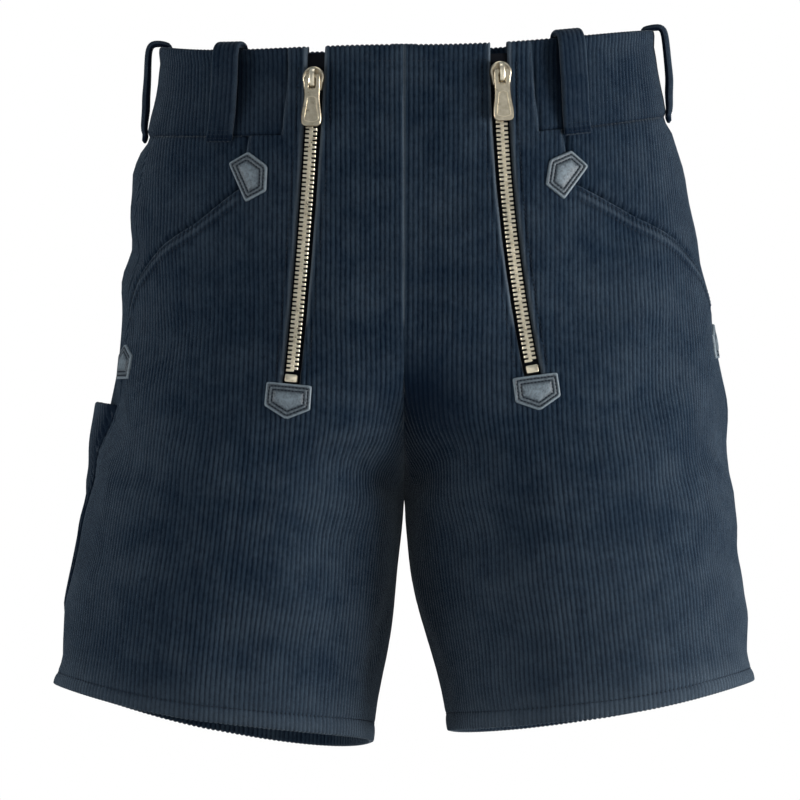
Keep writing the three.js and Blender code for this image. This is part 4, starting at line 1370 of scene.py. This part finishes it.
# %% Tapes, teeth and stops
TAPE_WIDTH, TAPE_DEPTH, TAPE_THICK, TAPE_END = 27.0, 3.1, 0.8, 1.03  # it ends 3% past the zip's foot
CHAIN_HALF, TOOTH_PITCH = 3.75, 2.86
UNDER_SLIDER, ABOVE_STOP = 2.6, 0.8  # from the slider to the first tooth, and from the last one to the stop
STOP_LENGTH = 5.0


def zip_strip(name, t, across, off):
    """A grid along the zip, `across` to either side of its middle line, standing off by `off`."""
    half = HALF[name]
    girth, drop = zip_place(half, t)
    round_row, _, _ = directions(half, girth, drop)
    g = girth[:, None] + across[None, :] / np.linalg.norm(round_row, axis=-1)[:, None]
    g, d = np.broadcast_arrays(g, drop[:, None])
    _, _, out = directions(half, g, d)
    return skin(half, g, d) + out * np.asarray(off)[..., None]


def zip_tape(name):
    t, across = np.linspace(0, TAPE_END, 60), np.linspace(-TAPE_WIDTH / 2, TAPE_WIDTH / 2, 15)
    length = zip_length(HALF[name]) * TAPE_END
    faces = (zip_strip(name, t, across, -TAPE_DEPTH - deep) for deep in (0, TAPE_THICK))
    part = panel(*faces, across, t[:, None] * length, 0.0, TAPE_WIDTH, TAPE_WIDTH * length)
    part["span"] = (0.0, length)
    return sew(f"zip_tape_{name}", part, slot="zip_tape", look=tape_cloth)


def plate(outline, heights, insets):
    """Rings of a flat outline at given heights, each moved inwards along the outline's own normals."""
    ahead, behind = np.roll(outline, -1, 0), np.roll(outline, 1, 0)
    along = unit(ahead - behind)
    inwards = np.stack([-along[:, 1], along[:, 0]], 1)
    flat = outline[None] + inwards[None] * np.asarray(insets)[:, None, None]
    high = np.broadcast_to(np.asarray(heights, float)[:, None, None], flat.shape[:2] + (1,))
    return np.concatenate([flat, high], -1)


def brass_piece(node, shape, faces, places, axes, low, high, body="shorts", sharp=35):
    """Copies of a brass shape as one piece. From `low` to `high` above the cloth it turns from tarnished to
    rubbed bright."""
    marks = {"bright": np.tile(smooth(shape[:, 2], low, high), len(places))}
    piece = make_piece(node, *copies(shape, faces, places, axes), brass, body, marks, sharp=sharp)
    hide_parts(node)
    print(f"{node}: {len(places)} of {len(faces)} triangles")


def tooth_shape():
    """One tooth: broad at its root on the tape, narrower at the head that meshes past the middle."""
    lower = [(-CHAIN_HALF, -0.82), (-1.3, -0.82), (-0.5, -0.8), (0.9, -0.66)]
    outline = np.array(lower + [(1.25, 0)] + [(x, -y) for x, y in lower[::-1]])
    return lofted(plate(outline, (-1.6, 0.1, 0.75, 0.95), (0, 0, 0.02, 0.3)))


def zip_frames(name, t, sign=1):
    """Places on the zip's middle line, each with the way across to one side, along it and out."""
    half = HALF[name]
    girth, drop = zip_place(half, t)
    _, _, out = directions(half, girth, drop)
    place = skin(half, girth, drop)
    ahead = unit(np.gradient(place, axis=0))
    across = unit(np.cross(ahead, out)) * sign
    return place, np.stack([across, np.cross(out, across), out], 1)


def zip_teeth(name):
    half = HALF[name]
    length = zip_length(half)
    start = (ZIP_TOP - half["zip"]["slider_height"] + UNDER_SLIDER) / length
    end = 1 - (STOP_LENGTH + ABOVE_STOP) / length
    count = int((end - start) * length / TOOTH_PITCH)
    steps = start + np.arange(count) * TOOTH_PITCH / length
    one_side, other_side = zip_frames(name, steps), zip_frames(name, steps + TOOTH_PITCH / 2 / length, -1)
    places, axes = (np.concatenate(pair) for pair in zip(one_side, other_side))
    brass_piece(f"zip_chain_{name}", *tooth_shape(), places, axes, -0.5, 0.95)


def rounded_box(width, length, corner, steps=4):
    """The outline of a rectangle with round corners, anticlockwise."""
    angle = np.radians(np.linspace(0, 90, steps + 1))
    arc = corner * np.stack([np.cos(angle), np.sin(angle)], 1)
    x, y = width / 2 - corner, length / 2 - corner
    corners = [(arc, 1, 1), (arc[:, ::-1], -1, 1), (arc, -1, -1), (arc[:, ::-1], 1, -1)]
    return np.concatenate([line * (to_x, to_y) + (to_x * x, to_y * y) for line, to_x, to_y in corners])


def zip_stop(name):
    outline = rounded_box(2 * CHAIN_HALF + 0.6, STOP_LENGTH, 0.9)
    points, faces = lofted(plate(outline, (-2.4, 0.6, 1.0, 1.15), (0, 0, 0.12, 0.5)))
    middle = 1 - STOP_LENGTH / 2 / zip_length(HALF[name])
    place, axes = zip_frames(name, middle + np.array([-0.01, 0, 0.01]))
    brass_piece(f"zip_stop_{name}", points, faces, place[1:2], axes[1:2], 0.2, 1.1)


for side in HALF:
    zip_tape(side)
    zip_teeth(side)
    zip_stop(side)

# %% [markdown]
# ## Slider and pull tab
#
# The slider's plate is round at the top and tapers to its foot. A crown arches over it and carries the tab,
# which narrows at the neck and widens to a rounded end. The tab's face is left bare inside a raised rim.

# %% Slider and pull
SLIDER_PLATE = table(
    "height inset", (-2.2, 0.2), (2.9, 0), (3.6, 0.12), (3.9, 0.6), (3.9, 1.3), (3.5, 1.7), (3.45, 3.2)
)
CROWN = table(
    "y height",
    (-7, 3.4), (-6.6, 5.2), (-5.9, 6.8), (-4.6, 7.8), (-2, 8.2), (1.5, 8.2), (3.2, 7.8), (4.3, 6.8),
    (4.9, 5.2), (5.2, 3.4),
)
CROWN_WIDTH, CROWN_THICK = 3.4, 1.44
PIN_HEIGHT = 5.61  # the pin that the tab swings about
TAB_THICK = 1.6


def closed_curve(corners, count=72, softness=2):
    """An even, slightly rounded closed line through corners."""
    corners = np.asarray(corners, float)
    line = np.concatenate([corners, corners[:1]])
    length = length_along(line)
    at = np.linspace(0, length[-1], count, endpoint=False)
    even = np.stack([np.interp(at, length, line[:, 0]), np.interp(at, length, line[:, 1])], 1)
    return softened(even, softness)


TAB = table(
    "x y", (5, 1.1), (5.05, -9), (4.9, -13), (5.4, -18), (6.4, -24), (6.65, -28), (6.3, -31.4), (4.6, -32.6)
)
TAB_FACE = table("x y", (3.4, -14), (3.9, -19), (4.9, -25), (5.0, -29.4))


def mirrored(side_line, between=()):
    """The left side going down, what lies between the sides at the bottom, and the right side going up."""
    return [(-x, y) for x, y in side_line] + list(between) + side_line[::-1]


def from_top(line):
    """A closed line run anticlockwise from its topmost middle point."""
    ahead = np.roll(line, -1, 0)
    if np.sum(line[:, 0] * ahead[:, 1] - ahead[:, 0] * line[:, 1]) <= 0:
        line = line[::-1]
    return np.roll(line, -int(np.argmax(line[:, 1] - 5 * np.abs(line[:, 0]))), 0)


def slider_mesh():
    angle = np.radians(np.linspace(-25, 205, 20))
    head = 7.0 * np.stack([np.cos(angle), np.sin(angle)], 1) + (0, -0.5)
    body = closed_curve(np.concatenate([head, [(-5.6, -9), (5.6, -9)]]))
    plate_rings = plate(body, SLIDER_PLATE["height"], SLIDER_PLATE["inset"])
    y, z = CROWN["y"], CROWN["height"]
    way = unit(np.stack([np.gradient(y), np.gradient(z)], 1))
    angle = np.linspace(0, 2 * np.pi, 12, endpoint=False)
    wide, thick = CROWN_WIDTH / 2 * power(np.cos(angle), 0.6), CROWN_THICK / 2 * power(np.sin(angle), 0.6)
    bar = together(wide, y[:, None] - way[:, 1:] * thick, z[:, None] + way[:, :1] * thick)
    return joined(lofted(plate_rings), lofted(np.stack(bar, -1)))


def pull_mesh():
    """The tab with its window, then a raised rim round the bare lower face."""
    side_line = list(zip(TAB["x"], TAB["y"]))
    outline = from_top(closed_curve(mirrored(side_line), softness=1))
    window = from_top(closed_curve(rounded_box(4.4, 7.5, 1.2) + (0, -4.85), softness=1))
    under, over = PIN_HEIGHT - TAB_THICK / 2, PIN_HEIGHT + TAB_THICK / 2
    rings_out = plate(outline, (under, under + 0.3, over - 0.35, over), (0.4, 0, 0, 0.4))
    rings_in = plate(window, (over, over - 0.3, under + 0.3, under), (-0.3, 0, 0, -0.3))
    tab = lofted(np.concatenate([rings_out, rings_in]), wrap=True)
    face_side = list(zip(TAB_FACE["x"], TAB_FACE["y"]))
    face = from_top(closed_curve(mirrored(face_side, [(0, -30.6)]) + [(0, -12.8)], 48))
    low, high = over - 0.2, over + 0.28
    rim = lofted(plate(face, (low, high, high, low), (-0.1, 0.1, 0.7, 0.95)), wrap=True)
    return joined(tab, rim)


def hardware(name):
    half = HALF[name]
    t = (ZIP_TOP - half["zip"]["slider_height"]) / zip_length(half)
    girth, drop = zip_place(half, np.array([t]))
    _, down, out = directions(half, girth, drop)
    up = unit(-down + out * dot(down, out)[..., None])
    axes = np.stack([unit(np.cross(up, out)), up, out], 1)
    place = skin(half, girth, drop)
    brass_piece(f"zip_slider_{name}", *slider_mesh(), place, axes, 2.6, 4.6, sharp=32)
    low, high = PIN_HEIGHT + 0.35, PIN_HEIGHT + 1.05
    brass_piece(f"zip_pull_{name}", *pull_mesh(), place, axes, low, high, f"pull_{name}", 32)


for side in HALF:
    hardware(side)

# %% [markdown]
# ## The studio
#
# A plain pale floor, a white surround, a large soft light from the right and a weaker one from the left. A
# wide faint light in front is there for the brass and the leather, which mirror it. The camera stands far in
# front, at the height of the hips, so that its view has almost no perspective.

# %% Floor and lights
FLOOR_HEIGHT = -0.62
FLOOR_SIDE, FLOOR_FRONT, FLOOR_BACK = 3, -9, 2.6
SOFTBOXES = {  # place, what it points at, size of a side, watts
    "key_light": ((2.2, -0.8, -0.2), (0, 0, -0.25), 1.0, 98),
    "fill_light": ((-2.6, -0.95, -0.35), (0, 0, -0.3), 1.2, 56),
    "top_light": ((0.2, -1.0, 2.4), (0, 0, -0.2), 1.2, 10),
    "front_light": ((0.1, -3.5, 0.0), (0, 0, -0.2), 2.4, 17),
}


def floor():
    corners = [(x, y, FLOOR_HEIGHT) for y in (FLOOR_FRONT, FLOOR_BACK) for x in (-FLOOR_SIDE, FLOOR_SIDE)]
    mesh = bpy.data.meshes.new("floor")
    mesh.from_pydata(corners, [], [(0, 1, 3, 2)])
    look = Look("pale_floor", Base_Color=(0.82, 0.82, 0.82, 1), Roughness=0.9)
    look.bump(look.noise(look.place(), 300.0), 0.0002, 0.2)
    mesh.materials.append(look.material)
    put_in("floor", mesh)


def softbox(name, place, aim, size, watts):
    light = bpy.data.lights.new(name, "AREA")
    light.shape, light.size, light.energy = "SQUARE", size, watts
    lamp = put_in(name, light)
    away = unit(np.array(place, float) - np.array(aim, float))
    right = unit(np.cross((0, 0, 1), away))
    turned_to = np.eye(4)
    turned_to[:3] = np.stack([right, np.cross(away, right), away, place], 1)
    lamp.matrix_world = Matrix(turned_to.tolist())
    lamp.visible_camera = False


floor()
for light_name, sizes in SOFTBOXES.items():
    softbox(light_name, *sizes)

# %% The white surround
SURROUND_LIGHT = (0.78, 0.89, 1.0, 1)
# Dim below and brighter above
FADE = {"From Min": -0.25, "From Max": 0.8, "To Min": 0.10, "To Max": 0.42}

world = bpy.data.worlds.new("white_surround")
world.use_nodes = True
nodes, links = world.node_tree.nodes, world.node_tree.links
kinds = ("Background", "TexCoord", "SeparateXYZ", "MapRange", "LightPath", "MixShader")
lit, way, rise, fade, rays, chosen = (nodes.new("ShaderNode" + kind) for kind in kinds)
seen = nodes["Background"]
seen.inputs["Color"].default_value = (1, 1, 1, 1)
lit.inputs["Color"].default_value = SURROUND_LIGHT
for socket_name, value in FADE.items():
    fade.inputs[socket_name].default_value = value
for source, target in (
    (way.outputs["Generated"], rise.inputs[0]),
    (rise.outputs["Z"], fade.inputs["Value"]),
    (fade.outputs[0], lit.inputs["Strength"]),
    (rays.outputs["Is Camera Ray"], chosen.inputs[0]),
    (lit.outputs[0], chosen.inputs[1]),
    (seen.outputs[0], chosen.inputs[2]),
    (chosen.outputs[0], nodes["World Output"].inputs["Surface"]),
):
    links.new(source, target)
bpy.context.scene.world = world
bpy.context.scene.view_settings.view_transform = "Standard"

# %% The camera
FRAME_WIDTH = 0.52  # how wide the camera sees, in metres
CAMERA_DISTANCE = 20.0
CAMERA_AIM = (-0.0026, -0.2015)  # x and z of the view's middle

lens = bpy.data.cameras.new("camera")
lens.sensor_width = 36.0
lens.lens = lens.sensor_width * CAMERA_DISTANCE / FRAME_WIDTH
lens.clip_end = 10 * CAMERA_DISTANCE
camera = put_in("camera", lens)
camera.location = (CAMERA_AIM[0], -CAMERA_DISTANCE, CAMERA_AIM[1])
camera.rotation_euler = (np.pi / 2, 0, 0)
bpy.context.scene.camera = camera

# %% Finish
bpy.context.view_layer.update()
